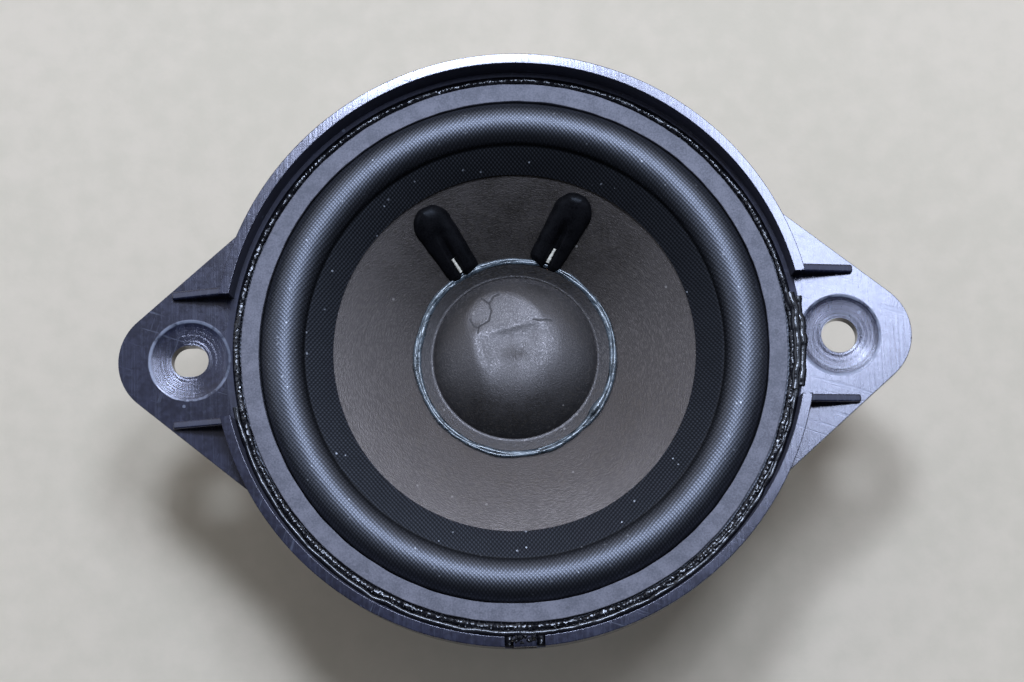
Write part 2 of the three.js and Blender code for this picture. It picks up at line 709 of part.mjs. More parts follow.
function terminalBlock() {
  const width = [-BLOCK.halfWidth, BLOCK.halfWidth];
  const outside = box(width, [BLOCK.inner, BLOCK.outer], [BLOCK.bottom, BLOCK.top]);
  const socket = box(
    [-BLOCK.halfWidth + BLOCK.wall, BLOCK.halfWidth - BLOCK.wall],
    [BLOCK.inner + BLOCK.web, BLOCK.outer + 1],
    [BLOCK.bottom + BLOCK.wall, BLOCK.top - BLOCK.wall],
  );
  const latch = box([-2, 2], [37.4, 39.4], [BLOCK.top - 2, BLOCK.top + 1]);
  return geometryOf(cut(solidOf(outside), socket, latch, bladeHole(BLADE_X), bladeHole(-BLADE_X)));
}

place("terminal_block", terminalBlock(), "blockPlastic");

const BLADE_INNER_Y = 24.6;
const BLADE_OUTER_Y = 40.2;

function blade(x) {
  const half = BLADE_WIDTH / 2;
  const shape = new THREE.Shape();
  shape.moveTo(x - half, BLADE_INNER_Y);
  shape.lineTo(x + half, BLADE_INNER_Y);
  shape.lineTo(x + half, BLADE_OUTER_Y - 1);
  shape.lineTo(x + half - 0.7, BLADE_OUTER_Y);
  shape.lineTo(x - half + 0.7, BLADE_OUTER_Y);
  shape.lineTo(x - half, BLADE_OUTER_Y - 1);
  shape.closePath();
  return extruded(shape, BLADE_Z - BLADE_THICKNESS / 2, BLADE_Z + BLADE_THICKNESS / 2);
}

/** Slack lead from the back of the cone's eyelet down to the solder on a blade's tail. */
function tinselPath(deg, x) {
  const eyeletFoot = coneZ(EYELET_RADIUS) - 1.3;
  const start = polar(EYELET_RADIUS + 0.5, deg, eyeletFoot);
  const end = new THREE.Vector3(x, BLADE_INNER_Y + 1.2, BLADE_Z + BLADE_THICKNESS / 2 + 1.4);
  const side = Math.sign(x);
  return [
    start,
    polar(EYELET_RADIUS + 0.9, deg, eyeletFoot - 1.2),
    new THREE.Vector3(side * 9.4, 23.4, 29.2),
    new THREE.Vector3(side * 8.2, 24.6, 27.8),
    new THREE.Vector3(side * 5.6, 25.6, 27.6),
    end,
  ];
}

const SOLDER_PROFILE = [
  [0, 0],
  [1.1, 0],
  [1, 0.5],
  [0.6, 1],
  [0, 1.2],
];

leadSides.forEach(([side, deg]) => {
  const x = side === "left" ? -BLADE_X : BLADE_X;
  place(`terminal_blade_${side}`, blade(x), "brass");
  place(`tinsel_lead_${side}`, tube(tinselPath(deg, x), TINSEL_RADIUS, 14, 8), "tinsel");
  const solder = place(`solder_joint_${side}`, turned(SOLDER_PROFILE, 12), "solder");
  solder.position.set(x, BLADE_INNER_Y + 1.2, BLADE_Z + BLADE_THICKNESS / 2);
});

export default speaker;
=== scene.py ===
"""A small car dashboard loudspeaker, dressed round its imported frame.

Sizes in this script are in millimetres and degrees unless a name says otherwise; meshes are written
in metres. +Z runs along the speaker's axis towards the listener, and the ears lie along X.
"""
from __future__ import annotations

import logging
import math
from collections.abc import Callable, Iterable, Sequence
from dataclasses import dataclass
from enum import Enum

import bmesh
import bpy
import numpy as np
from mathutils import Matrix, Vector, noise

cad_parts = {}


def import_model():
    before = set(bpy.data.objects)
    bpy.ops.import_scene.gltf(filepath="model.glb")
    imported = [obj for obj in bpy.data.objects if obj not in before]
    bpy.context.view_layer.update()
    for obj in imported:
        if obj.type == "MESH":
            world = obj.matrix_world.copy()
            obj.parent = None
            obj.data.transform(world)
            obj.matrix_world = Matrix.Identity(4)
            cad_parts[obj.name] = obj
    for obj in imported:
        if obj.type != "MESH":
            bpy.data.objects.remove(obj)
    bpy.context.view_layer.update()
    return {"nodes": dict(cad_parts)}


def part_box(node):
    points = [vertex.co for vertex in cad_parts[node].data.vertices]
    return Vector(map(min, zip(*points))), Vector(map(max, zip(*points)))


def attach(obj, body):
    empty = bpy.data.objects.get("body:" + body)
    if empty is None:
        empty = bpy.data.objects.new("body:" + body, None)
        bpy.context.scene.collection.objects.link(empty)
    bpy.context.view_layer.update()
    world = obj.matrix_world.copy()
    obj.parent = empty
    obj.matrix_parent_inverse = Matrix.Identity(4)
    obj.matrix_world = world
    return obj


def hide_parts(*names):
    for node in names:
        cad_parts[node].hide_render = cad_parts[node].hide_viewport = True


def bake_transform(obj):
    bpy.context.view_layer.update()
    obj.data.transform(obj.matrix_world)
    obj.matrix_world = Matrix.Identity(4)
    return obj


LOG = logging.getLogger("speaker")
MM = 0.001
FINE_ROUND = 288  # facets round the large rings
MEDIUM_ROUND = 144
SMOOTH_ANGLE = 32.0

Piece = bpy.types.Object
Node, NodeTree, Socket = bpy.types.Node, bpy.types.NodeTree, bpy.types.NodeSocket
Inputs, Outputs = bpy.types.NodeInputs, bpy.types.NodeOutputs
Profile = list[tuple[float, float]]
Warp = Callable[[np.ndarray], np.ndarray]
Colour = tuple[float, float, float]


class Body(Enum):
    """The two rigid bodies that the pieces ride on."""

    FRAME = "frame"
    MOVING = "moving_assembly"


class Slot(Enum):
    """The record's material slots, passed along with each piece."""

    BASKET = "basket_plastic"
    BLOCK = "block_plastic"
    STEEL = "zinc_steel"
    FERRITE = "ferrite"
    FILM = "former_film"
    COPPER = "copper_wire"
    BLACK_ADHESIVE = "black_adhesive"
    CLEAR_ADHESIVE = "clear_adhesive"
    CONE = "cone_paper"
    CAP = "cap_paper"
    CLOTH = "surround_cloth"
    CARD = "gasket_card"
    SPIDER = "spider_cloth"
    TINSEL = "tinsel_braid"


class Cut(Enum):
    """How one solid acts on another."""

    ADD = "UNION"
    REMOVE = "DIFFERENCE"


# ---------- layout from the frame
@dataclass(frozen=True)
class Layout:
    """Radii and heights shared by the pieces, in millimetres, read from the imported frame."""

    rim_radius: float
    rim_top: float
    ear_tip: float
    floor: float
    gasket_bottom: float
    gasket_top: float
    gasket_radius: float
    brim_radius: float
    magnet_bottom: float
    magnet_top: float
    magnet_radius: float
    yoke_radius: float
    rim_height: float = 4.0
    ear_thickness: float = 3.0
    seat_depth: float = 1.0

    @classmethod
    def from_frame(cls) -> Layout:
        """Reads the boxes of the nodes that the other sizes hang on.

        Returns:
            The layout.
        """
        basket_low, basket_high = mm_box("basket")
        gasket_low, gasket_high = mm_box("gasket_ring")
        magnet_low, magnet_high = mm_box("magnet")
        return cls(
            rim_radius=basket_high.y,
            rim_top=basket_high.z,
            ear_tip=basket_high.x,
            floor=basket_low.z,
            gasket_bottom=gasket_low.z,
            gasket_top=gasket_high.z,
            gasket_radius=gasket_high.y,
            brim_radius=mm_box("dust_cap")[1].x,
            magnet_bottom=magnet_low.z,
            magnet_top=magnet_high.z,
            magnet_radius=magnet_high.x,
            yoke_radius=mm_box("t_yoke")[1].x,
        )

    @property
    def ear_top(self) -> float:
        """Height of the ears' front face."""
        return self.rim_top - self.rim_height

    @property
    def ear_bottom(self) -> float:
        """Height of the ears' rear face."""
        return self.ear_top - self.ear_thickness

    @property
    def seat(self) -> float:
        """Height of the step that the surround's edge lies on."""
        return self.ear_top - self.seat_depth


def mm_box(node: str) -> tuple[Vector, Vector]:
    """Lowest and highest corner of a CAD node, in millimetres."""
    low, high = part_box(node)
    return low / MM, high / MM


@dataclass(frozen=True)
class ConeFace:
    """The curved line that the cone's front face follows."""

    neck_radius: float = 10.4
    edge_radius: float = 31.3
    neck_z: float = 26.9
    slope: float = 0.53
    flare: float = 0.0042

    def z(self, radius: float | np.ndarray) -> float | np.ndarray:
        """Height of the front face."""
        run = radius - self.neck_radius
        return self.neck_z + self.slope * run - self.flare * run * run


CONE_FACE = ConeFace()


# ---------- node helpers
class Graph:
    """Adds nodes to one node tree and joins them up."""

    def __init__(self, tree: NodeTree) -> None:
        """Keeps the tree."""
        self.tree = tree

    def add(self, kind: str, inputs: dict[str | int, object] | None = None, **settings: object) -> Node:
        """Adds a node.

        Args:
            kind: The node's type name.
            inputs: Values or sockets for its inputs, by name or number.
            **settings: Properties of the node.

        Returns:
            The node.
        """
        node = self.tree.nodes.new(kind)
        for name, value in settings.items():
            setattr(node, name, value)
        for key, value in (inputs or {}).items():
            self.feed(node.inputs[key], value)
        return node

    def feed(self, socket: Socket, value: object) -> None:
        """Links a socket to an input, or sets the input's value.

        Args:
            socket: The input.
            value: A socket or a plain value.
        """
        if isinstance(value, Socket):
            self.tree.links.new(value, socket)
        else:
            socket.default_value = value

    def maths(self, operation: str, first: object, second: object = 0.0, clamp: bool = False) -> Socket:
        """Adds a Math node and returns its value."""
        node = self.add("ShaderNodeMath", {0: first, 1: second}, operation=operation, use_clamp=clamp)
        return node.outputs[0]

    def plus(self, first: object, second: object) -> Socket:
        """Adds two values."""
        return self.maths("ADD", first, second)

    def times(self, first: object, second: object, clamp: bool = False) -> Socket:
        """Multiplies two values."""
        return self.maths("MULTIPLY", first, second, clamp)

    def distance(self, first: object, second: object) -> Socket:
        """Length of a vector with these two parts."""
        squares = [self.maths("POWER", part, 2.0) for part in (first, second)]
        return self.maths("SQRT", self.plus(*squares))

    def span(self, value: object, low: float, high: float, to_low: float = 0.0,
             to_high: float = 1.0) -> Socket:
        """Maps a value smoothly from one range to another."""
        inputs = {"Value": value, "From Min": low, "From Max": high, "To Min": to_low, "To Max": to_high}
        return self.add("ShaderNodeMapRange", inputs, interpolation_type="SMOOTHSTEP").outputs["Result"]

    def mix(self, factor: object, first: object, second: object) -> Socket:
        """Mixes two colours."""
        inputs = {0: factor, 6: rgba(first), 7: rgba(second)}
        return self.add("ShaderNodeMix", inputs, data_type="RGBA").outputs[2]

    def noise(self, vector: object, scale: object, detail: float = 3.0, roughness: float = 0.55) -> Socket:
        """Adds a noise texture and returns its value, from 0 to 1."""
        inputs = {"Vector": vector, "Scale": scale, "Detail": detail, "Roughness": roughness}
        return self.add("ShaderNodeTexNoise", inputs).outputs["Fac"]

    def scaled(self, vector: object, scale: tuple[float, float, float]) -> Socket:
        """Stretches a vector by a factor on each axis."""
        return self.add("ShaderNodeVectorMath", {0: vector, 1: scale}, operation="MULTIPLY").outputs[0]


def rgba(value: object) -> object:
    """Gives an RGB tuple its alpha, and passes anything else through."""
    return (*value, 1.0) if isinstance(value, tuple) and len(value) == 3 else value


class SharedGroup:
    """A shader node group that several materials use, built once."""

    name = ""
    inputs: dict[str, tuple[str, object]] = {}
    outputs: dict[str, str] = {}

    def tree(self) -> NodeTree:
        """Finds or builds the group.

        Returns:
            The node tree.
        """
        known = bpy.data.node_groups.get(self.name)
        if known:
            return known
        tree = bpy.data.node_groups.new(self.name, "ShaderNodeTree")
        for name, (kind, value) in self.inputs.items():
            socket = tree.interface.new_socket(name, in_out="INPUT", socket_type=kind)
            if value is not None:
                socket.default_value = value
        for name, kind in self.outputs.items():
            tree.interface.new_socket(name, in_out="OUTPUT", socket_type=kind)
        source, sink = tree.nodes.new("NodeGroupInput"), tree.nodes.new("NodeGroupOutput")
        self.fill(Graph(tree), source.outputs, sink.inputs)
        return tree

    def fill(self, graph: Graph, given: Outputs, result: Inputs) -> None:
        """Builds the inside of the group."""
        raise NotImplementedError

    def place(self, graph: Graph, **values: object) -> Node:
        """Puts the group into a material.

        Args:
            graph: The material's graph.
            **values: Inputs by name, with _ for a space.

        Returns:
            The group node.
        """
        node = graph.add("ShaderNodeGroup", node_tree=self.tree())
        for key, value in values.items():
            graph.feed(node.inputs[key.replace("_", " ")], value)
        return node


class Weave(SharedGroup):
    """Plain weave: raised crossings in a staggered lattice, square to X and Y."""

    name = "weave"
    inputs = {"Vector": ("NodeSocketVector", None), "Pitch": ("NodeSocketFloat", 0.0005),
              "Wander": ("NodeSocketFloat", 0.00004)}
    outputs = {"Height": "NodeSocketFloat"}
    wander_scale = 350.0
    stretch = {"X": 1.0, "Y": 0.86}  # the threads lie closer along X than along Y

    def fill(self, graph: Graph, given: Outputs, result: Inputs) -> None:
        """Multiplies two waves, after a slight wander of the threads."""
        wobble = graph.add("ShaderNodeTexNoise",
                           {"Vector": given["Vector"], "Scale": self.wander_scale, "Detail": 2.0})
        centred = graph.add("ShaderNodeVectorMath", {0: wobble.outputs["Color"], 1: (0.5,) * 3},
                            operation="SUBTRACT")
        shift = graph.add("ShaderNodeVectorMath", {0: centred.outputs[0]}, operation="SCALE")
        graph.feed(shift.inputs["Scale"], given["Wander"])
        moved = graph.add("ShaderNodeVectorMath", {0: given["Vector"], 1: shift.outputs[0]}, operation="ADD")
        axes = graph.add("ShaderNodeSeparateXYZ", {0: moved.outputs[0]}).outputs
        waves = []
        for axis, stretch in self.stretch.items():
            turns = graph.maths("DIVIDE", graph.times(axes[axis], stretch), given["Pitch"])
            waves.append(graph.maths("COSINE", graph.times(turns, 2 * math.pi)))
        graph.feed(result["Height"], graph.span(graph.times(*waves), -1.0, 1.0))


class Specks(SharedGroup):
    """Sparse small spots, such as dust, lint and glints."""

    name = "specks"
    inputs = {"Vector": ("NodeSocketVector", None), "Scale": ("NodeSocketFloat", 900.0),
              "Share": ("NodeSocketFloat", 0.04), "Size": ("NodeSocketFloat", 0.25)}
    outputs = {"Mask": "NodeSocketFloat"}

    def fill(self, graph: Graph, given: Outputs, result: Inputs) -> None:
        """Keeps a share of Voronoi cells, and in each the middle."""
        cells = graph.add("ShaderNodeTexVoronoi", {"Vector": given["Vector"], "Scale": given["Scale"]})
        chance = graph.add("ShaderNodeSeparateColor", {0: cells.outputs["Color"]}).outputs[0]
        chosen = graph.maths("LESS_THAN", chance, given["Share"])
        near = graph.maths("LESS_THAN", cells.outputs["Distance"], given["Size"])
        graph.feed(result["Mask"], graph.times(chosen, near))


class Scuffs(SharedGroup):
    """Fine scratches in two crossing directions, with worn patches."""

    name = "scuffs"
    inputs = {"Vector": ("NodeSocketVector", None), "Scale": ("NodeSocketFloat", 900.0),
              "Amount": ("NodeSocketFloat", 0.4)}
    outputs = {"Mask": "NodeSocketFloat", "Height": "NodeSocketFloat"}
    directions = (0.35, 1.9)  # radians from Y
    length_share = 0.03
    patch_scale = 160.0

    def fill(self, graph: Graph, given: Outputs, result: Inputs) -> None:
        """Thresholds stretched noise, and breaks it up with broad noise."""
        lines = []
        for turn in self.directions:
            turned_place = graph.add("ShaderNodeVectorRotate", {"Vector": given["Vector"], "Angle": turn})
            thin = graph.scaled(turned_place.outputs[0], (1.0, self.length_share, 1.0))
            lines.append(graph.span(graph.noise(thin, given["Scale"], 2.0), 0.6, 0.72))
        both = graph.maths("MAXIMUM", lines[0], lines[1])
        patches = graph.span(graph.noise(given["Vector"], self.patch_scale, 4.0), 0.45, 0.7)
        mask = graph.times(graph.times(both, patches), given["Amount"], clamp=True)
        graph.feed(result["Mask"], mask)
        graph.feed(result["Height"], graph.times(mask, -1.0))


class Mottle(SharedGroup):
    """Cloudy variation between two colours, from broad and fine noise."""

    name = "mottle"
    inputs = {"Vector": ("NodeSocketVector", None), "Scale": ("NodeSocketFloat", 300.0),
              "Dark": ("NodeSocketColor", None), "Light": ("NodeSocketColor", None)}
    outputs = {"Color": "NodeSocketColor", "Value": "NodeSocketFloat"}
    fineness = 9.0  # how much finer the grain is than the clouds

    def fill(self, graph: Graph, given: Outputs, result: Inputs) -> None:
        """Adds broad clouds to fine grain."""
        broad = graph.noise(given["Vector"], given["Scale"], 4.0)
        fine = graph.noise(given["Vector"], graph.times(given["Scale"], self.fineness), 3.0)
        both = graph.plus(graph.times(broad, 0.5), graph.times(fine, 0.5))
        value = graph.span(both, 0.36, 0.64)
        graph.feed(result["Value"], value)
        graph.feed(result["Color"], graph.mix(value, given["Dark"], given["Light"]))


class Fibres(SharedGroup):
    """Pressed pulp: fine hair-like fibres that swirl round the speaker's axis."""

    name = "fibres"
    inputs = {"Vector": ("NodeSocketVector", None), "Swirl": ("NodeSocketFloat", 1.0)}
    outputs = {"Value": "NodeSocketFloat"}
    layers = ((7600.0, 26.0, 30.0), (6100.0, 34.0, -38.0))  # scale outwards, scale round, lean
    depth_scale = 120.0

    def fill(self, graph: Graph, given: Outputs, result: Inputs) -> None:
        """Stretches two noises round the axis, each with a lean of its own, and keeps their ridges."""
        axes = graph.add("ShaderNodeSeparateXYZ", {0: given["Vector"]}).outputs
        angle = graph.maths("ARCTAN2", axes["Y"], axes["X"])
        radius = graph.distance(axes["X"], axes["Y"])
        noises = []
        for outwards, around, lean in self.layers:
            slanted = graph.plus(graph.times(radius, outwards), graph.times(angle, lean))
            parts = {0: slanted, 1: graph.times(angle, around), 2: graph.times(radius, self.depth_scale)}
            turned_place = graph.add("ShaderNodeCombineXYZ", parts).outputs[0]
            noises.append(graph.times(graph.noise(turned_place, given["Swirl"], 3.0, 0.6), 0.5))
        graph.feed(result["Value"], graph.span(graph.plus(*noises), 0.4, 0.6))


WEAVE, SPECKS, SCUFFS, MOTTLE, FIBRES = Weave(), Specks(), Scuffs(), Mottle(), Fibres()


# ---------- finishes
@dataclass(frozen=True)
class Finish:
    """One material. A subclass adds its own nodes in dress()."""

    name: str
    roughness: float = 0.5
    metallic: float = 0.0
    specular: float = 0.5
    tint: Colour = (1.0, 1.0, 1.0)

    def material(self) -> bpy.types.Material:
        """Finds or builds the material.

        Returns:
            The material.
        """
        known = bpy.data.materials.get(self.name)
        if known:
            return known
        made = bpy.data.materials.new(self.name)
        made.use_nodes = True
        graph = Graph(made.node_tree)
        shader = next(n for n in made.node_tree.nodes if n.type == "BSDF_PRINCIPLED")
        settings = {"Roughness": self.roughness, "Metallic": self.metallic,
                    "Specular IOR Level": self.specular, "Specular Tint": rgba(self.tint)}
        for name, value in settings.items():
            shader.inputs[name].default_value = value
        place = graph.add("ShaderNodeTexCoord").outputs["Object"]
        self.dress(graph, shader, place)
        return made

    def dress(self, graph: Graph, shader: Node, place: Socket) -> None:
        """Adds the finish's own nodes."""
        raise NotImplementedError

    @staticmethod
    def bump(graph: Graph, shader: Node, height: object, depth: float) -> None:
        """Feeds the shader's normal from a height."""
        made = graph.add("ShaderNodeBump", {"Height": height, "Distance": depth * MM, "Strength": 1.0})
        graph.feed(shader.inputs["Normal"], made.outputs["Normal"])

    @staticmethod
    def clouds(graph: Graph, place: Socket, scale: float, dark: Colour, light: Colour) -> Outputs:
        """Clouds between two colours: the mottle's Color and Value."""
        return MOTTLE.place(graph, Vector=place, Scale=scale, Dark=rgba(dark), Light=rgba(light)).outputs

    @staticmethod
    def specks(graph: Graph, place: Socket, scale: float, share: float, size: float) -> Socket:
        """Mask of sparse small spots."""
        return SPECKS.place(graph, Vector=place, Scale=scale, Share=share, Size=size).outputs["Mask"]


@dataclass(frozen=True)
class MouldedPlastic(Finish):
    """Satin moulded resin with fine flow lines, clouds and scuffs."""

    dark: Colour = (0.005, 0.006, 0.014)
    light: Colour = (0.010, 0.012, 0.028)
    # colour of scuffs, dust and fine streaks, and of the painted highlight ring on the screw seats' lips
    wear_and_highlight: Colour = (0.13, 0.15, 0.2)
    scuff_amount: float = 0.45
    line_depth: float = 0.011
    line_scale: float = 2700.0
    seat_x: float = 0.0  # where the screw seats are, and 0 on a piece without seats
    streak_share: float = 0.05
    dull_radius: float = 0.0
    dull_top: float = 40.85
    dull_roughness: float = 0.75

    def dress(self, graph: Graph, shader: Node, place: Socket) -> None:
        """Mixes clouds, scuffs, dust and a painted highlight on the seats' lips, and drags fine lines along
        Y.
        """
        clouds = self.clouds(graph, place, 170.0, self.dark, self.light)
        scuffs = SCUFFS.place(graph, Vector=place, Scale=1500.0, Amount=self.scuff_amount)
        dust = self.specks(graph, place, scale=900.0, share=0.025, size=0.22)
        marks = graph.maths("MAXIMUM", scuffs.outputs["Mask"], graph.times(dust, 0.6))
        lines = graph.noise(graph.scaled(place, (1.0, 0.03, 1.0)), self.line_scale, 2.0)
        height = graph.plus(lines, graph.times(graph.noise(place, 5200.0, 3.0), 0.3))
        rough = graph.plus(graph.span(clouds["Value"], 0.0, 1.0, -0.015, 0.02), self.roughness)
        if self.seat_x:
            # each seat's lip gets a painted highlight ring, which is also made duller
            lip_highlight_ring, grooves = self.seat_marks(graph, place)
            streaks = graph.times(graph.span(lines, 0.5, 0.66), self.streak_share)
            marks = graph.maths("MAXIMUM", graph.maths("MAXIMUM", marks, lip_highlight_ring), streaks)
            rough = graph.plus(rough, graph.times(lip_highlight_ring, 0.25))
            rough = graph.maths("MAXIMUM", rough, self.dull_wall(graph, place))
            height = graph.plus(height, grooves)
        graph.feed(shader.inputs["Base Color"], graph.mix(marks, clouds["Color"], self.wear_and_highlight))
        graph.feed(shader.inputs["Roughness"], graph.plus(rough, graph.times(marks, 0.1)))
        self.bump(graph, shader, graph.plus(height, scuffs.outputs["Height"]), self.line_depth)

    def dull_wall(self, graph: Graph, place: Socket) -> Socket:
        """Roughness of the rim's inner wall, which keeps the mould's dull surface.

        Args:
            graph: The material's graph.
            place: Object coordinates.

        Returns:
            The roughness there, and 0 elsewhere.
        """
        axes = graph.add("ShaderNodeSeparateXYZ", {0: place}).outputs
        inside = graph.maths("LESS_THAN", graph.distance(axes["X"], axes["Y"]), self.dull_radius * MM)
        below = graph.maths("LESS_THAN", axes["Z"], self.dull_top * MM)
        return graph.times(graph.times(inside, below), self.dull_roughness)

    def seat_marks(self, graph: Graph, place: Socket) -> tuple[Socket, Socket]:
        """A painted highlight ring on the lip of each screw seat, and turning marks round the two seats.

        Args:
            graph: The material's graph.
            place: Object coordinates.

        Returns:
            How strongly the lip's highlight is painted, and the height of the turning marks.
        """
        axes = graph.add("ShaderNodeSeparateXYZ", {0: place}).outputs
        across = graph.maths("SUBTRACT", graph.maths("ABSOLUTE", axes["X"]), self.seat_x * MM)
        radius = graph.distance(across, axes["Y"])
        # painted highlight along the lip, broken up below by noise
        ring = graph.times(graph.span(radius, 5.6 * MM, 5.85 * MM), graph.span(radius, 6.25 * MM, 6.0 * MM))
        broken = graph.span(graph.noise(place, 500.0, 4.0), 0.35, 0.6, 0.1, 0.8)
        inside = graph.span(radius, 6.0 * MM, 5.8 * MM)
        uneven = graph.noise(graph.add("ShaderNodeCombineXYZ", {0: radius}).outputs[0], 9000.0, 2.0)
        return graph.times(ring, broken), graph.times(graph.times(uneven, 4.0), inside)


@dataclass(frozen=True)
class CoatedCloth(Finish):
    """Woven cloth under a skin of rubber or resin."""

    # low is a painted shade in the gaps between the threads, high the colour of the crossings
    low: Colour = (0.004, 0.004, 0.005)
    high: Colour = (0.012, 0.013, 0.016)
    pitch: float = 0.6
    depth: float = 0.026
    glints: float = 0.03
    glint: Colour = (0.16, 0.17, 0.19)
    skirt_radius: float = 0.0  # a darker skirt begins inside it, and 0 means none
    skirt_share: float = 0.18

    def dress(self, graph: Graph, shader: Node, place: Socket) -> None:
        """Colours and lifts the crossings of the weave, paints shade into its gaps, and dims the skirt."""
        weave = WEAVE.place(graph, Vector=place, Pitch=self.pitch * MM, Wander=0.3 * MM).outputs["Height"]
        uneven = graph.span(graph.noise(place, 420.0, 3.0), 0.3, 0.7, 0.65, 1.0)
        # the crossings stay light and the gaps get a painted shade
        share = graph.times(graph.span(weave, 0.35, 0.9), uneven)
        low = self.low
        if self.skirt_radius:
            axes = graph.add("ShaderNodeSeparateXYZ", {0: place}).outputs
            radius = graph.distance(axes["X"], axes["Y"])
            skirt = (self.skirt_radius * MM, (self.skirt_radius + 1.0) * MM)
            share = graph.times(graph.span(share, 0.0, 1.0, 0.55, 1.0),
                                graph.span(radius, *skirt, self.skirt_share, 1.0))
            low = (0.0, 0.0, 0.0)
        glints = self.specks(graph, place, scale=1500.0, share=self.glints, size=0.24)
        colour = graph.mix(graph.times(glints, 0.5), graph.mix(share, low, self.high), self.glint)
        graph.feed(shader.inputs["Base Color"], colour)
        self.bump(graph, shader, weave, self.depth)


@dataclass(frozen=True)
class PulpPaper(Finish):
    """Pressed paper pulp with swirling fibres."""

    dark: Colour = (0.001, 0.001, 0.001)
    light: Colour = (0.004, 0.0035, 0.003)
    thread: Colour = (0.05, 0.045, 0.04)
    # crease_shade is a painted shade along the cap's creases
    crease_shade: Colour = (0.001, 0.001, 0.001)
    lint: Colour = (0.25, 0.24, 0.23)
    fibre_depth: float = 0.017

    def dress(self, graph: Graph, shader: Node, place: Socket) -> None:
        """Layers clouds, fibres and lint, and paints shade into the creases."""
        fibres = FIBRES.place(graph, Vector=place, Swirl=1.0).outputs["Value"]
        clouds = self.clouds(graph, place, 260.0, self.dark, self.light)
        threads = graph.mix(graph.maths("POWER", fibres, 4.0), self.dark, self.thread)
        colour = graph.mix(0.6, clouds["Color"], threads)
        lint = self.specks(graph, place, scale=1000.0, share=0.018, size=0.2)
        colour = graph.mix(graph.times(lint, 0.4), colour, self.lint)
        # the creases get a painted shade and a rougher finish
        creases = graph.add("ShaderNodeAttribute", attribute_name="crease_shade").outputs["Fac"]
        graph.feed(shader.inputs["Base Color"], graph.mix(creases, colour, self.crease_shade))
        tone = graph.plus(graph.times(fibres, 0.6), graph.times(clouds["Value"], 0.4))
        tone = graph.maths("SUBTRACT", tone, graph.times(creases, 0.8))
        rough = graph.span(tone, 0.15, 0.85, self.roughness + 0.13, self.roughness - 0.09)
        graph.feed(shader.inputs["Roughness"], graph.plus(rough, graph.times(creases, 0.4)))
        height = graph.plus(graph.times(fibres, 0.6), graph.noise(place, 6200.0, 4.0))
        self.bump(graph, shader, height, self.fibre_depth)


@dataclass(frozen=True)
class PressedCard(Finish):
    """Grey pressed card with short fibres and small stains."""

    dark: Colour = (0.058, 0.057, 0.070)
    light: Colour = (0.118, 0.115, 0.138)
    stain: Colour = (0.03, 0.03, 0.035)

    def dress(self, graph: Graph, shader: Node, place: Socket) -> None:
        """Speckles the card and lifts its fibres."""
        clouds = self.clouds(graph, place, 420.0, self.dark, self.light)
        specks = self.specks(graph, place, scale=800.0, share=0.05, size=0.25)
        stained = graph.mix(graph.times(specks, 0.45), clouds["Color"], self.stain)
        graph.feed(shader.inputs["Base Color"], stained)
        self.bump(graph, shader, graph.noise(place, 2600.0, 4.0), 0.03)


@dataclass(frozen=True)
class GlossyAdhesive(Finish):
    """Rubbery adhesive with a wet skin."""

    dark: Colour = (0.0035, 0.0035, 0.004)
    light: Colour = (0.012, 0.012, 0.014)
    ripple: float = 0.03
    ripple_scale: float = 1500.0

    def dress(self, graph: Graph, shader: Node, place: Socket) -> None:
        """Varies the skin's colour and ripples it."""
        clouds = self.clouds(graph, place, 500.0, self.dark, self.light)
        graph.feed(shader.inputs["Base Color"], clouds["Color"])
        rough = graph.span(clouds["Value"], 0.0, 1.0, self.roughness - 0.04, self.roughness + 0.08)
        graph.feed(shader.inputs["Roughness"], rough)
        self.bump(graph, shader, graph.noise(place, self.ripple_scale, 3.0), self.ripple)


@dataclass(frozen=True)
class WorkedMetal(Finish):
    """Metal with fine turning lines, spots of tarnish and scratches."""

    base: Colour = (0.62, 0.63, 0.65)
    tarnish: Colour = (0.36, 0.35, 0.34)
    line_depth: float = 0.004

    def dress(self, graph: Graph, shader: Node, place: Socket) -> None:
        """Mixes tarnish in and turns lines round the axis."""
        clouds = self.clouds(graph, place, 190.0, self.tarnish, self.base)
        scuffs = SCUFFS.place(graph, Vector=place, Scale=1200.0, Amount=0.4)
        colour = graph.mix(0.4, self.base, clouds["Color"])
        graph.feed(shader.inputs["Base Color"], graph.mix(scuffs.outputs["Mask"], colour, self.tarnish))
        rough = graph.plus(graph.span(clouds["Value"], 0.0, 1.0, 0.1, -0.04), self.roughness)
        graph.feed(shader.inputs["Roughness"], rough)
        lines = FIBRES.place(graph, Vector=place, Swirl=0.6).outputs["Value"]
        self.bump(graph, shader, graph.plus(lines, scuffs.outputs["Height"]), self.line_depth)


@dataclass(frozen=True)
class SinteredFerrite(Finish):
    """Ground ceramic magnet with a fine dull grain."""

    dark: Colour = (0.020, 0.020, 0.022)
    light: Colour = (0.062, 0.061, 0.062)
    pit: Colour = (0.12, 0.12, 0.12)

    def dress(self, graph: Graph, shader: Node, place: Socket) -> None:
        """Grains the body and pits it."""
        clouds = self.clouds(graph, place, 350.0, self.dark, self.light)
        pits = self.specks(graph, place, scale=700.0, share=0.08, size=0.2)
        graph.feed(shader.inputs["Base Color"], graph.mix(pits, clouds["Color"], self.pit))
        height = graph.maths("SUBTRACT", graph.noise(place, 2400.0, 4.0), pits)
        self.bump(graph, shader, height, 0.02)


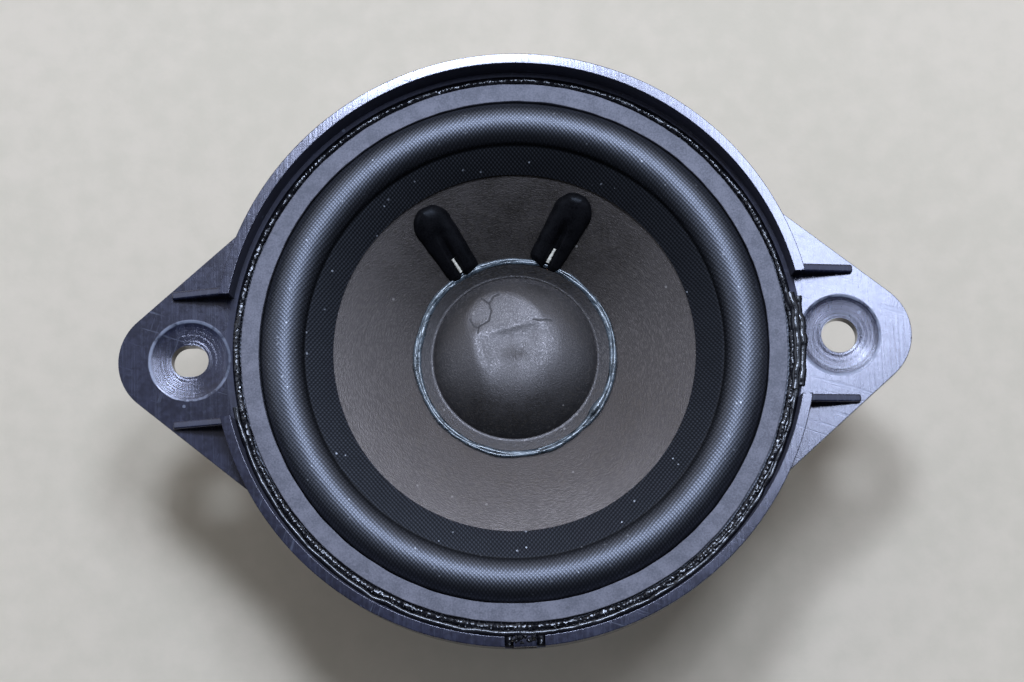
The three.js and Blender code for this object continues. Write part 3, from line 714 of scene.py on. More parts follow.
@dataclass(frozen=True)
class WoundWire(Finish):
    """Bare or enamelled wire laid side by side along Z."""

    base: Colour = (0.62, 0.27, 0.11)
    pitch: float = 0.2
    gap_shade_share: float = 0.35  # brightness of the painted shade in the gaps between turns

    def dress(self, graph: Graph, shader: Node, place: Socket) -> None:
        """Rounds each turn and paints shade into the gaps."""
        height = graph.add("ShaderNodeSeparateXYZ", {0: place}).outputs["Z"]
        turns = graph.times(height, 2 * math.pi / (self.pitch * MM))
        wave = graph.span(graph.maths("COSINE", turns), -1.0, 1.0)
        # painted shade for the gaps, also the dark end of the turns' tone
        dark = tuple(self.gap_shade_share * c for c in self.base)
        tone = graph.mix(graph.noise(place, 900.0, 3.0), dark, self.base)
        graph.feed(shader.inputs["Base Color"], graph.mix(wave, dark, tone))
        self.bump(graph, shader, wave, 0.04)


@dataclass(frozen=True)
class PaleBoard(Finish):
    """The pale board that the speaker stands on."""

    dark: Colour = (0.49, 0.44, 0.352)
    light: Colour = (0.53, 0.47, 0.38)

    def dress(self, graph: Graph, shader: Node, place: Socket) -> None:
        """Clouds the board faintly, with a soft tooth."""
        clouds = self.clouds(graph, place, 26.0, self.dark, self.light)
        graph.feed(shader.inputs["Base Color"], clouds["Color"])
        self.bump(graph, shader, graph.noise(place, 900.0, 4.0), 0.02)


BASKET_PLASTIC = MouldedPlastic("basket plastic", roughness=0.19, specular=0.7, tint=(0.85, 0.85, 0.99),
                                seat_x=48.0, dull_radius=42.62)
BLOCK_PLASTIC = MouldedPlastic("terminal block plastic", roughness=0.42, dark=(0.012, 0.012, 0.013),
                               light=(0.024, 0.024, 0.026), wear_and_highlight=(0.12, 0.12, 0.12), scuff_amount=0.3)
SURROUND_CLOTH = CoatedCloth("surround cloth", roughness=0.48, metallic=1.0, high=(0.104, 0.112, 0.134),
                             glint=(0.3, 0.32, 0.36), skirt_radius=30.6)
SPIDER_CLOTH = CoatedCloth("spider cloth", roughness=0.7, low=(0.24, 0.13, 0.04), high=(0.55, 0.36, 0.15),
                           pitch=0.8, depth=0.09, glints=0.0)
CONE_PAPER = PulpPaper("cone paper", roughness=0.39, specular=0.88, tint=(1.0, 0.9, 0.88))
CAP_PAPER = PulpPaper("dust cap paper", roughness=0.4, specular=0.93, tint=(1.0, 0.96, 1.0),
                      fibre_depth=0.018)
GASKET_CARD = PressedCard("gasket card", roughness=0.6, specular=0.6, tint=(0.8, 0.86, 1.0))
EDGE_ADHESIVE = GlossyAdhesive("edge adhesive", roughness=0.22, specular=0.55, dark=(0.002, 0.002, 0.003),
                               light=(0.006, 0.006, 0.008), tint=(0.9, 0.93, 1.0))
LEAD_ADHESIVE = GlossyAdhesive("lead adhesive", roughness=0.3, specular=0.045, dark=(0.002, 0.002, 0.0025),
                               light=(0.005, 0.005, 0.006), ripple=0.01, ripple_scale=700.0,
                               tint=(0.8, 0.88, 1.0))
CAP_ADHESIVE = GlossyAdhesive("dust cap adhesive", roughness=0.3, specular=0.9, ripple=0.012,
                              dark=(0.004, 0.006, 0.008), light=(0.06, 0.08, 0.10), tint=(0.9, 0.96, 1.0))
ZINC_STEEL = WorkedMetal("zinc plated steel", roughness=0.34, metallic=1.0)
BRASS = WorkedMetal("tinned brass", roughness=0.3, metallic=1.0, base=(0.76, 0.62, 0.34),
                    tarnish=(0.42, 0.3, 0.14))
SOLDER = WorkedMetal("solder", roughness=0.22, metallic=1.0, base=(0.72, 0.73, 0.74),
                     tarnish=(0.45, 0.45, 0.46), line_depth=0.01)
FERRITE = SinteredFerrite("ferrite", roughness=0.62)
FORMER_FILM = WoundWire("former film", roughness=0.35, base=(0.46, 0.2, 0.05), pitch=1.4)
COPPER_WIRE = WoundWire("copper wire", roughness=0.28, metallic=1.0, base=(0.78, 0.36, 0.17), pitch=0.25)
TINSEL_BRAID = WoundWire("tinsel braid", roughness=0.42, metallic=0.8, base=(0.7, 0.38, 0.2), pitch=0.3)
PALE_SLEEVE = PressedCard("lead sleeve", roughness=0.6, dark=(0.42, 0.40, 0.34), light=(0.68, 0.66, 0.58))
FLOOR_BOARD = PaleBoard("pale board", roughness=0.9, specular=0.1)


# ---------- mesh helpers
def mesh_piece(name: str, points: np.ndarray, faces: Iterable[Sequence[int]], finish: Finish) -> Piece:
    """Makes a closed mesh piece with faces outwards.

    Args:
        name: The piece's name.
        points: Its points, in millimetres.
        faces: Point numbers of each face.
        finish: Its material.

    Returns:
        The object, at the origin.
    """
    mesh = bpy.data.meshes.new(name)
    mesh.from_pydata((np.asarray(points, float) * MM).tolist(), [], [list(f) for f in faces])
    mesh.materials.append(finish.material())
    tidy_mesh(mesh)
    piece = bpy.data.objects.new(name, mesh)
    bpy.context.scene.collection.objects.link(piece)
    return piece


def tidy_mesh(mesh: bpy.types.Mesh) -> None:
    """Merges doubled points, turns the faces outwards and shades the mesh.

    Args:
        mesh: The mesh, in metres.
    """
    work = bmesh.new()
    work.from_mesh(mesh)
    bmesh.ops.remove_doubles(work, verts=work.verts, dist=0.0008 * MM)
    bmesh.ops.recalc_face_normals(work, faces=work.faces)
    work.to_mesh(mesh)
    work.free()
    mesh.shade_smooth()
    mesh.set_sharp_from_angle(angle=math.radians(SMOOTH_ANGLE))


def rounded(profile: Profile, radius: float, steps: int = 3, closed: bool = True) -> Profile:
    """Rounds the sharp corners of a profile.

    Args:
        profile: Its points.
        radius: Length taken off each side of a corner, at most.
        steps: Pieces in each round.
        closed: Whether the last point joins the first.

    Returns:
        The rounded profile.
    """
    made: Profile = []
    count = len(profile)
    for i, here in enumerate(profile):
        if not closed and i in (0, count - 1):
            made.append(here)
            continue
        corner = np.array(here)
        back, ahead = np.array(profile[i - 1]) - corner, np.array(profile[(i + 1) % count]) - corner
        reach_back, reach_ahead = np.linalg.norm(back), np.linalg.norm(ahead)
        cosine = float(np.dot(back, ahead) / max(reach_back * reach_ahead, 1e-9))
        if cosine < -0.92:
            made.append(here)
            continue
        take = min(radius, 0.45 * reach_back, 0.45 * reach_ahead)
        start, end = corner + back / reach_back * take, corner + ahead / reach_ahead * take
        for step in range(steps + 1):
            t = step / steps
            point = (1 - t) ** 2 * start + 2 * t * (1 - t) * corner + t * t * end
            made.append((float(point[0]), float(point[1])))
    return made


def turned(name: str, profile: Profile, finish: Finish, facets: int = FINE_ROUND, warp: Warp | None = None,
           centre: tuple[float, float] = (0.0, 0.0)) -> Piece:
    """Turns a profile of radius and height about an axis along Z.

    Args:
        name: The piece's name.
        profile: Points of radius and height. It closes on itself, unless it starts and ends on the axis.
        finish: The material.
        facets: Facets round.
        warp: Moves the points, given as an array of millimetres.
        centre: Where the axis stands.

    Returns:
        The object.
    """
    radii, heights = np.array(profile, float).T
    angles = np.linspace(0, 2 * math.pi, facets, endpoint=False)
    points = np.stack([
        np.outer(radii, np.cos(angles)) + centre[0],
        np.outer(radii, np.sin(angles)) + centre[1],
        np.outer(heights, np.ones(facets)),
    ], axis=-1).reshape(-1, 3)
    on_axis = profile[0][0] == 0 and profile[-1][0] == 0
    rows = len(profile) - 1 if on_axis else len(profile)
    faces = []
    for row in range(rows):
        this, following = row * facets, (row + 1) % len(profile) * facets
        for i in range(facets):
            j = (i + 1) % facets
            faces.append((this + i, this + j, following + j, following + i))
    return mesh_piece(name, warp(points) if warp else points, faces, finish)


def prism(name: str, outline: Sequence[tuple[float, float]], low: float, high: float,
          finish: Finish) -> Piece:
    """Raises an outline in the XY plane from one height to another.

    Args:
        name: The piece's name.
        outline: Its points, in order.
        low: Bottom height.
        high: Top height.
        finish: The material.

    Returns:
        The object.
    """
    count = len(outline)
    points = [(x, y, low) for x, y in outline] + [(x, y, high) for x, y in outline]
    sides = [(i, (i + 1) % count, count + (i + 1) % count, count + i) for i in range(count)]
    ends = [tuple(reversed(range(count))), tuple(range(count, 2 * count))]
    return mesh_piece(name, np.array(points), sides + ends, finish)


def block(name: str, x: tuple[float, float], y: tuple[float, float], z: tuple[float, float],
          finish: Finish) -> Piece:
    """Makes a straight-sided block between two limits on each axis."""
    return prism(name, [(x[0], y[0]), (x[1], y[0]), (x[1], y[1]), (x[0], y[1])], z[0], z[1], finish)


def arc(radius: float, start: float, end: float, steps: int,
        centre: tuple[float, float] = (0.0, 0.0)) -> list[tuple[float, float]]:
    """Points along an arc."""
    angles = np.radians(np.linspace(start, end, steps + 1))
    return [(centre[0] + radius * math.cos(a), centre[1] + radius * math.sin(a)) for a in angles]


def shell_faces(rows: int, spokes: int) -> list[tuple[int, ...]]:
    """Faces of a closed shell: a front and a back layer of rings, joined at the last ring.

    Args:
        rows: Rings in each layer.
        spokes: Points in each ring.

    Returns:
        Point numbers of each face, with the back layer's points after the front's.
    """
    layer, rim = rows * spokes, (rows - 1) * spokes
    steps = [(i, (i + 1) % spokes) for i in range(spokes)]
    rings = [start + row * spokes for start in (0, layer) for row in range(rows - 1)]
    faces = [(a + i, a + j, a + spokes + j, a + spokes + i) for a in rings for i, j in steps]
    return faces + [(rim + i, rim + j, layer + rim + j, layer + rim + i) for i, j in steps]


def settle_modifiers(piece: Piece) -> Piece:
    """Makes a piece's modifiers part of its mesh.

    Args:
        piece: The object.

    Returns:
        The same object, with no modifiers.
    """
    graph = bpy.context.evaluated_depsgraph_get()
    graph.update()
    made = bpy.data.meshes.new_from_object(piece.evaluated_get(graph), preserve_all_data_layers=True,
                                           depsgraph=graph)
    piece.modifiers.clear()
    old, piece.data = piece.data, made
    bpy.data.meshes.remove(old)
    return piece


def softened(piece: Piece, width: float, segments: int = 2, angle: float = 40.0) -> Piece:
    """Rounds the sharp edges of a simple solid.

    Args:
        piece: The object.
        width: Width of the round, in millimetres.
        segments: Facets across the round.
        angle: Edges sharper than this are rounded.

    Returns:
        The same object.
    """
    bevel = piece.modifiers.new("round", "BEVEL")
    bevel.width, bevel.segments = width * MM, segments
    bevel.limit_method, bevel.angle_limit = "ANGLE", math.radians(angle)
    return settle_modifiers(piece)


def even_shading(piece: Piece) -> Piece:
    """Shades flat faces flat right up to their rounded edges.

    Args:
        piece: The object, finished but for its shading.

    Returns:
        The same object.
    """
    step = piece.modifiers.new("shading", "WEIGHTED_NORMAL")
    step.keep_sharp, step.weight = True, 80
    return settle_modifiers(piece)


def combined(piece: Piece, tools: Iterable[Piece], how: Cut) -> Piece:
    """Acts on a solid with others, which are used up.

    Args:
        piece: The solid that stays.
        tools: The others.
        how: Whether they are added or taken away.

    Returns:
        The solid.
    """
    for tool in tools:
        step = piece.modifiers.new("cut", "BOOLEAN")
        step.operation, step.solver, step.object = how.value, "MANIFOLD", tool
        settle_modifiers(piece)
        bpy.data.objects.remove(tool)
    return piece


def settle(piece: Piece, body: Body, slot: Slot, *nodes: str) -> None:
    """Puts a finished piece on its body, and says what it stands for."""
    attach(piece, body.value)
    finish_piece(piece, slot, *nodes)


def finish_piece(piece: Piece, slot: Slot, *nodes: str) -> None:
    """Hides the CAD nodes that a piece stands for, and reports it.

    Args:
        piece: The object.
        slot: Its material slot. Not used.
        *nodes: CAD nodes that it stands for.
    """
    if nodes:
        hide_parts(*nodes)
    stands_for = ", ".join(nodes) or "nothing"
    LOG.info("%s: %d faces, stands for %s", piece.name, len(piece.data.polygons), stands_for)


def smooth(share: np.ndarray) -> np.ndarray:
    """Eases a share between 0 and 1."""
    held = np.clip(share, 0, 1)
    return held * held * (3 - 2 * held)


def wander(points: np.ndarray, size: float, depth: float, seed: float) -> np.ndarray:
    """Smooth noise at each point."""
    shift = Vector((seed * 13.7, seed * 7.1, seed * 3.3))
    return np.array([depth * noise.noise(Vector(p) / size + shift) for p in points])


def flexing(piece: Piece) -> None:
    """Bakes a ring's place into its mesh and reads its points.

    Args:
        piece: The ring.
    """
    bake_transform(piece)
    places = np.empty(len(piece.data.vertices) * 3, np.float32)
    piece.data.vertices.foreach_get("co", places)


# ---------- geometry node trees
class PathTree:
    """A Geometry Nodes tree that grows a mesh along a path, built once."""

    name = ""
    sizes: dict[str, float] = {}
    counts: dict[str, int] = {}
    noise_gain = 4.0  # spreads a noise round its middle over about -1 to 1

    def tree(self) -> NodeTree:
        """Finds or builds the tree.

        Returns:
            The node tree.
        """
        known = bpy.data.node_groups.get(self.name)
        if known:
            return known
        tree = bpy.data.node_groups.new(self.name, "GeometryNodeTree")
        tree.interface.new_socket("Path", in_out="INPUT", socket_type="NodeSocketGeometry")
        for kind, inputs in (("NodeSocketFloat", self.sizes), ("NodeSocketInt", self.counts)):
            for name, value in inputs.items():
                tree.interface.new_socket(name, in_out="INPUT", socket_type=kind).default_value = value
        tree.interface.new_socket("Finish", in_out="INPUT", socket_type="NodeSocketMaterial")
        tree.interface.new_socket("Grown", in_out="OUTPUT", socket_type="NodeSocketGeometry")
        graph = Graph(tree)
        given, sink = tree.nodes.new("NodeGroupInput").outputs, tree.nodes.new("NodeGroupOutput").inputs
        line = graph.add("GeometryNodeMeshToCurve", {"Mesh": given["Path"]}).outputs[0]
        real = graph.add("GeometryNodeRealizeInstances", {"Geometry": self.fill(graph, given, line)})
        done = graph.add("GeometryNodeSetMaterial",
                         {"Geometry": real.outputs[0], "Material": given["Finish"]})
        graph.feed(sink[0], done.outputs[0])
        return tree

    def fill(self, graph: Graph, given: Outputs, line: Socket) -> Socket:
        """Adds the tree's own nodes and returns the mesh that they make from the path's curve."""
        raise NotImplementedError

    def centred(self, graph: Graph, value: Socket, size: Socket) -> Socket:
        """Moves a noise's middle to 0 and gives it a size."""
        return graph.times(graph.maths("SUBTRACT", value, 0.5), graph.times(size, self.noise_gain))

    def roughened(self, graph: Graph, mesh: Socket, lumps: Socket, depth: Socket) -> Socket:
        """Moves a mesh's points in and out.

        Args:
            graph: The tree's graph.
            mesh: The mesh.
            lumps: A noise, from 0 to 1.
            depth: How far the points move.

        Returns:
            The moved mesh.
        """
        outward = graph.add("GeometryNodeInputNormal").outputs[0]
        offset = graph.add("ShaderNodeVectorMath", {0: outward, "Scale": self.centred(graph, lumps, depth)},
                           operation="SCALE")
        moved = graph.add("GeometryNodeSetPosition", {"Geometry": mesh, "Offset": offset.outputs[0]})
        return moved.outputs[0]


class BeadTree(PathTree):
    """A lumpy bead of adhesive laid along a path."""

    name = "adhesive bead"
    sizes = {"Bead Radius": 0.5 * MM, "Swell": 0.3, "Swell Scale": 300.0, "Lump Depth": 0.1 * MM,
             "Lump Scale": 1500.0, "Seed": 1.0}
    counts = {"Steps": 900}
    facets = 14
    thinnest = 0.3  # share of the bead's radius

    def fill(self, graph: Graph, given: Outputs, line: Socket) -> Socket:
        """Sweeps a circle along the path, swells it and roughens it."""
        even = graph.add("GeometryNodeResampleCurve", {"Curve": line, "Count": given["Steps"]})
        swell = self.seeded(graph, given, "Swell Scale", 2.0)
        lumps = self.seeded(graph, given, "Lump Scale", 3.0)
        radius = given["Bead Radius"]
        width = graph.times(radius, graph.plus(self.centred(graph, swell, given["Swell"]), 1.0))
        safe = graph.maths("MAXIMUM", width, graph.times(radius, self.thinnest))
        ring = graph.add("GeometryNodeCurvePrimitiveCircle", {"Resolution": self.facets, "Radius": 1.0})
        swept = graph.add("GeometryNodeCurveToMesh", {"Curve": even.outputs[0], "Scale": safe,
                                                      "Profile Curve": ring.outputs[0], "Fill Caps": True})
        return self.roughened(graph, swept.outputs[0], lumps, given["Lump Depth"])

    @staticmethod
    def seeded(graph: Graph, given: Outputs, scale: str, detail: float) -> Socket:
        """Noise at each point, moved by the tree's seed."""
        inputs = {"Vector": graph.add("GeometryNodeInputPosition").outputs[0], "W": given["Seed"],
                  "Scale": given[scale], "Detail": detail}
        return graph.add("ShaderNodeTexNoise", inputs, noise_dimensions="4D").outputs["Fac"]


class CrumbTree(PathTree):
    """Irregular crumbs scattered along a path."""

    name = "crumbs"
    sizes = {"Crumb Radius": 0.3 * MM, "Spread": 0.3 * MM, "Lump Depth": 0.12 * MM}
    counts = {"Count": 60, "Seed": 1}
    lump_scale = 2400.0

    def fill(self, graph: Graph, given: Outputs, line: Socket) -> Socket:
        """Scatters squashed balls and roughens them."""
        spots = graph.add("GeometryNodeCurveToPoints", {"Curve": line, "Count": given["Count"]}).outputs
        jitter = self.drawn(graph, given, (-1.0, -1.0, -0.2), (1.0, 1.0, 0.2))
        shift = graph.add("ShaderNodeVectorMath", {0: jitter, "Scale": given["Spread"]}, operation="SCALE")
        strewn = graph.add("GeometryNodeSetPosition",
                           {"Geometry": spots["Points"], "Offset": shift.outputs[0]})
        ball = graph.add("GeometryNodeMeshIcoSphere", {"Radius": given["Crumb Radius"], "Subdivisions": 3})
        crumbs = graph.add("GeometryNodeInstanceOnPoints",
                           {"Points": strewn.outputs[0], "Instance": ball.outputs[0],
                            "Rotation": spots["Rotation"],
                            "Scale": self.drawn(graph, given, (0.5, 0.8, 0.4), (1.2, 2.2, 0.8))})
        real = graph.add("GeometryNodeRealizeInstances", {"Geometry": crumbs.outputs[0]})
        lumps = graph.noise(graph.add("GeometryNodeInputPosition").outputs[0], self.lump_scale, 2.0)
        return self.roughened(graph, real.outputs[0], lumps, given["Lump Depth"])

    @staticmethod
    def drawn(graph: Graph, given: Outputs, low: tuple[float, ...], high: tuple[float, ...]) -> Socket:
        """A vector drawn for each crumb, between two limits."""
        return graph.add("FunctionNodeRandomValue", {0: low, 1: high, "Seed": given["Seed"]},
                         data_type="FLOAT_VECTOR").outputs[0]


def grown(name: str, path: Sequence[tuple[float, float, float]], closed: bool, maker: PathTree,
          finish: Finish, **values: float) -> Piece:
    """Grows a piece along a path with a Geometry Nodes tree.

    Args:
        name: The piece's name.
        path: Points of the path, in millimetres.
        closed: Whether the path closes on itself.
        maker: What grows on it.
        finish: The material.
        **values: The tree's inputs by name, with _ for a space.

    Returns:
        The object, as a plain mesh.
    """
    tree, count = maker.tree(), len(path)
    edges = [(i, (i + 1) % count) for i in range(count if closed else count - 1)]
    mesh = bpy.data.meshes.new(name)
    mesh.from_pydata((np.array(path) * MM).tolist(), edges, [])
    piece = bpy.data.objects.new(name, mesh)
    bpy.context.scene.collection.objects.link(piece)
    step = piece.modifiers.new("grow", "NODES")
    step.node_group = tree
    keys = {item.name: item.identifier for item in tree.interface.items_tree if item.in_out == "INPUT"}
    step[keys["Finish"]] = finish.material()
    for key, value in values.items():
        step[keys[key.replace("_", " ")]] = value
    settle_modifiers(piece)
    tidy_mesh(piece.data)
    return piece


# ---------- basket
@dataclass(frozen=True)
class Basket:
    """The moulded basket: bowl with windows, flange, rim, ears, gussets and screw seats."""

    layout: Layout
    rim_wall: float = 1.6
    rim_draft: float = 0.2
    seat_radius: float = 41.6
    tip_radius: float = 8.0
    edge_slope: float = 40.0
    edge_offset: float = 40.5
    hole_x: float = 48.0
    hole_size: tuple[float, float] = (5.3, 5.2)
    slot_size: tuple[float, float] = (5.5, 4.7)
    dish_radius: float = 6.0
    dish_depth: float = 0.5
    gap_half: float = 9.1
    notch_width: float = 5.8
    gusset_thickness: float = 1.2
    gusset_end: float = 50.4
    ledge: tuple[float, float, float] = (19.4, 22.6, 2.3)
    floor_thickness: float = 2.2
    window_low: float = 20.8
    window_high: float = 30.6
    window_ring: tuple[float, float] = (23.4, 37.0)
    windows: tuple[tuple[float, float], ...] = (
        (-25, 25), (35, 73), (107, 145), (155, 205), (215, 265), (275, 325))
    bore_radius: float = 14.5
    base_radius: float = 26.4
    base_bevel: float = 1.2
    foot_radius: float = 27.8
    shoulder_radius: float = 33.0
    flange_bore: float = 42.7
    seat_inner: float = 37.2
    seat_wall: float = 2.2
    edge_round: float = 0.13
    tab: tuple[tuple[float, float], float] = ((-1.7, 1.7), -43.9)  # X span and outer Y
    pad: tuple[tuple[float, float], ...] = ((-7.5, 7.5), (27, 33), (20.6, 31))  # X, Y and Z spans

    @property
    def rim_inner(self) -> float:
        """Radius of the rim's inner wall."""
        return self.layout.rim_radius - self.rim_wall

    def outline(self) -> list[tuple[float, float]]:
        """Outline of the flange with its two ears."""
        plan = self.layout
        normal = 90 - self.edge_slope
        junction = normal + math.degrees(math.acos(self.edge_offset / plan.rim_radius))
        tip = plan.ear_tip - self.tip_radius
        return [
            *arc(self.tip_radius, -normal, normal, 28, (tip, 0)),
            *arc(plan.rim_radius, junction, 180 - junction, 90),
            *arc(self.tip_radius, 180 - normal, 180 + normal, 28, (-tip, 0)),
            *arc(plan.rim_radius, 180 + junction, 360 - junction, 90),
        ]

    def bowl(self) -> Piece:
        """Floor, spider ledge, sloping wall, seat and rim, in one turning."""
        plan = self.layout
        floor_top = plan.floor + self.floor_thickness
        inner, outer, rise = self.ledge
        base, bevel = self.base_radius, self.base_bevel
        rim, draft = self.rim_inner, self.rim_draft / 2
        outside = [
            (self.bore_radius, plan.floor), (base, plan.floor), (base + bevel, plan.floor + bevel),
            (self.foot_radius, self.window_low + 0.4), (self.shoulder_radius, self.window_high),
            (38.6, plan.ear_bottom - 2), (40.6, plan.ear_bottom), (plan.rim_radius, plan.ear_bottom),
        ]
        inside = [
            (plan.rim_radius, plan.rim_top), (rim + draft, plan.rim_top), (rim - draft, plan.ear_top),
            (self.seat_radius, plan.ear_top), (self.seat_radius, plan.seat), (self.seat_inner, plan.seat),
            (self.seat_inner, plan.seat - self.seat_wall), (31.4, self.window_high + 1.6),
            (25, floor_top + bevel), (24, floor_top), (outer, floor_top), (outer, floor_top + rise),
            (inner, floor_top + rise), (inner, floor_top), (self.bore_radius, floor_top),
        ]
        return turned("basket", rounded([*outside, *inside], self.edge_round), BASKET_PLASTIC)

    def flange(self) -> Piece:
        """The flange plate with both ears, rounded at its edges."""
        plan = self.layout
        plate = prism("flange", self.outline(), plan.ear_bottom, plan.ear_top, BASKET_PLASTIC)
        softened(plate, width=0.1, angle=60)
        low, high = plan.ear_bottom - 1, plan.ear_top + 1
        bore = turned("bore", [(0, low), (self.flange_bore, low), (self.flange_bore, high), (0, high)],
                      BASKET_PLASTIC)
        return combined(plate, [bore], Cut.REMOVE)

    def gusset(self, side: int, edge: int) -> Piece:
        """Web from one end of the rim down to an ear's edge.

        Args:
            side: 1 on the right ear, -1 on the left.
            edge: 1 at the ear's back edge, -1 at the front.

        Returns:
            The web.
        """
        plan = self.layout
        root = plan.ear_top - 0.5
        inner = self.rim_inner - 0.6
        corners = [(inner, root), (self.gusset_end, root), (self.gusset_end, plan.ear_top + 0.9),
                   (inner, plan.rim_top - 0.5)]
        near = self.gap_half if edge > 0 else -self.gap_half - self.gusset_thickness
        points = [(side * x, y, z) for y in (near, near + self.gusset_thickness) for x, z in corners]
        faces = [(0, 1, 2, 3), (7, 6, 5, 4)] + [(i, (i + 1) % 4, 4 + (i + 1) % 4, 4 + i) for i in range(4)]
        return softened(mesh_piece("gusset", np.array(points), faces, BASKET_PLASTIC), width=0.3, segments=3)

    def dish(self, x: float) -> Piece:
        """The dished seat round a fixing hole, as a cutter."""
        top, radius = self.layout.ear_top, self.dish_radius
        deep = top - self.dish_depth
        lip = [(radius + 0.5, top + 1), (radius + 0.12, top + 0.02), (radius - 0.06, top - 0.08),
               (radius - 0.9, top - 0.27), (radius - 1.15, top - 0.31)]
        profile = [(0, top + 1), *lip, (2.4, deep), (0, deep)]
        return turned("dish", profile, BASKET_PLASTIC, MEDIUM_ROUND, centre=(x, 0))

    def hole(self, x: float, size: tuple[float, float]) -> Piece:
        """A fixing hole or slot, as a cutter."""
        reach, radius = (size[0] - size[1]) / 2, size[1] / 2
        ends = arc(radius, -90, 90, 24, (x + reach, 0)) + arc(radius, 90, 270, 24, (x - reach, 0))
        return prism("hole", ends, self.layout.ear_bottom - 1, self.layout.ear_top + 1, BASKET_PLASTIC)

    def cutters(self) -> list[Piece]:
        """The windows, the rim's notch and its gaps at the ears, as cutters."""
        plan = self.layout
        above = (plan.ear_top, plan.rim_top + 1)
        narrow, wide = self.window_ring
        made = []
        for start, end in self.windows:
            ring = arc(wide, start, end, 24) + arc(narrow, end, start, 24)
            made.append(prism("window", ring, self.window_low, self.window_high, BASKET_PLASTIC))
        half = self.notch_width / 2
        made.append(block("notch", (-half, half), (-46, -41.9), above, BASKET_PLASTIC))
        for span in ((-46, -38), (38, 46)):
            made.append(block("gap", span, (-self.gap_half, self.gap_half), above, BASKET_PLASTIC))
        return made

    def build(self) -> None:
        """Joins, cuts and places the basket."""
        plan = self.layout
        basket = combined(self.bowl(), self.cutters(), Cut.REMOVE)
        tab = softened(block("tab", self.tab[0], (self.tab[1], -self.rim_inner + 0.1),
                             (plan.ear_top - 1, plan.rim_top - 1.8), BASKET_PLASTIC), width=0.2)
        pad = softened(block("pad", *self.pad, BASKET_PLASTIC), width=0.3)
        gussets = [self.gusset(side, edge) for side in (-1, 1) for edge in (-1, 1)]
        combined(basket, [self.flange(), tab, pad, *gussets], Cut.ADD)
        holes = [self.dish(self.hole_x), self.dish(-self.hole_x), self.hole(self.hole_x, self.hole_size),
                 self.hole(-self.hole_x, self.slot_size)]
        combined(basket, [*holes, *TerminalBlock.blade_ways(BASKET_PLASTIC)], Cut.REMOVE)
        tidy_mesh(basket.data)
        settle(even_shading(basket), Body.FRAME, Slot.BASKET, "basket")


# ---------- motor
@dataclass(frozen=True)
class Motor:
    """Yoke, ferrite ring, top plate and rivets."""

    layout: Layout
    pole_radius: float = 9.6
    magnet_bore: float = 13.0
    plate_bore: float = 11.2
    rivet_circle: float = 17.0
    rivet_angles: tuple[float, ...] = (45, 135, 225, 315)

    def build(self) -> None:
        """Turns and places every piece."""
        plan = self.layout
        outer, low, high = plan.yoke_radius, plan.magnet_bottom, plan.magnet_top
        pole, tip = self.pole_radius, plan.floor + 0.5
        yoke = [(0, 0), (2.2, 0), (2.6, 0.4), (3.4, 0.4), (3.8, 0), (outer - 0.7, 0), (outer, 0.7),
                (outer, low), (pole, low), (pole, plan.floor), (pole - 0.5, tip), (0, tip)]
        turned_yoke = turned("t_yoke_turned", rounded(yoke, 0.3, closed=False), ZINC_STEEL)
        settle(even_shading(turned_yoke), Body.FRAME, Slot.STEEL, "t_yoke")
        ring = [(self.magnet_bore, low), (plan.magnet_radius - 0.6, low), (plan.magnet_radius, low + 0.6),
                (plan.magnet_radius, high - 0.6), (plan.magnet_radius - 0.6, high), (self.magnet_bore, high)]
        magnet = even_shading(turned("magnet_ring", rounded(ring, 0.25), FERRITE))
        settle(magnet, Body.FRAME, Slot.FERRITE, "magnet")
        plate = [(self.plate_bore, high), (outer, high), (outer, plan.floor), (self.plate_bore, plan.floor)]
        plate_ring = even_shading(turned("top_plate_ring", rounded(plate, 0.3), ZINC_STEEL))
        settle(plate_ring, Body.FRAME, Slot.STEEL, "top_plate")
        top = plan.floor + Basket.floor_thickness
        head = [(0, top), (2, top), (2, top + 0.2), (1.75, top + 0.62), (1.2, top + 0.82), (0.55, top + 0.9),
                (0.4, top + 0.7), (0, top + 0.65)]
        for number, angle in enumerate(self.rivet_angles, 1):
            turn = math.radians(angle)
            place = (self.rivet_circle * math.cos(turn), self.rivet_circle * math.sin(turn))
            rivet = turned(f"rivet_head_{number}", head, ZINC_STEEL, 36, centre=place)
            settle(rivet, Body.FRAME, Slot.STEEL, f"plate_rivet_{number}")


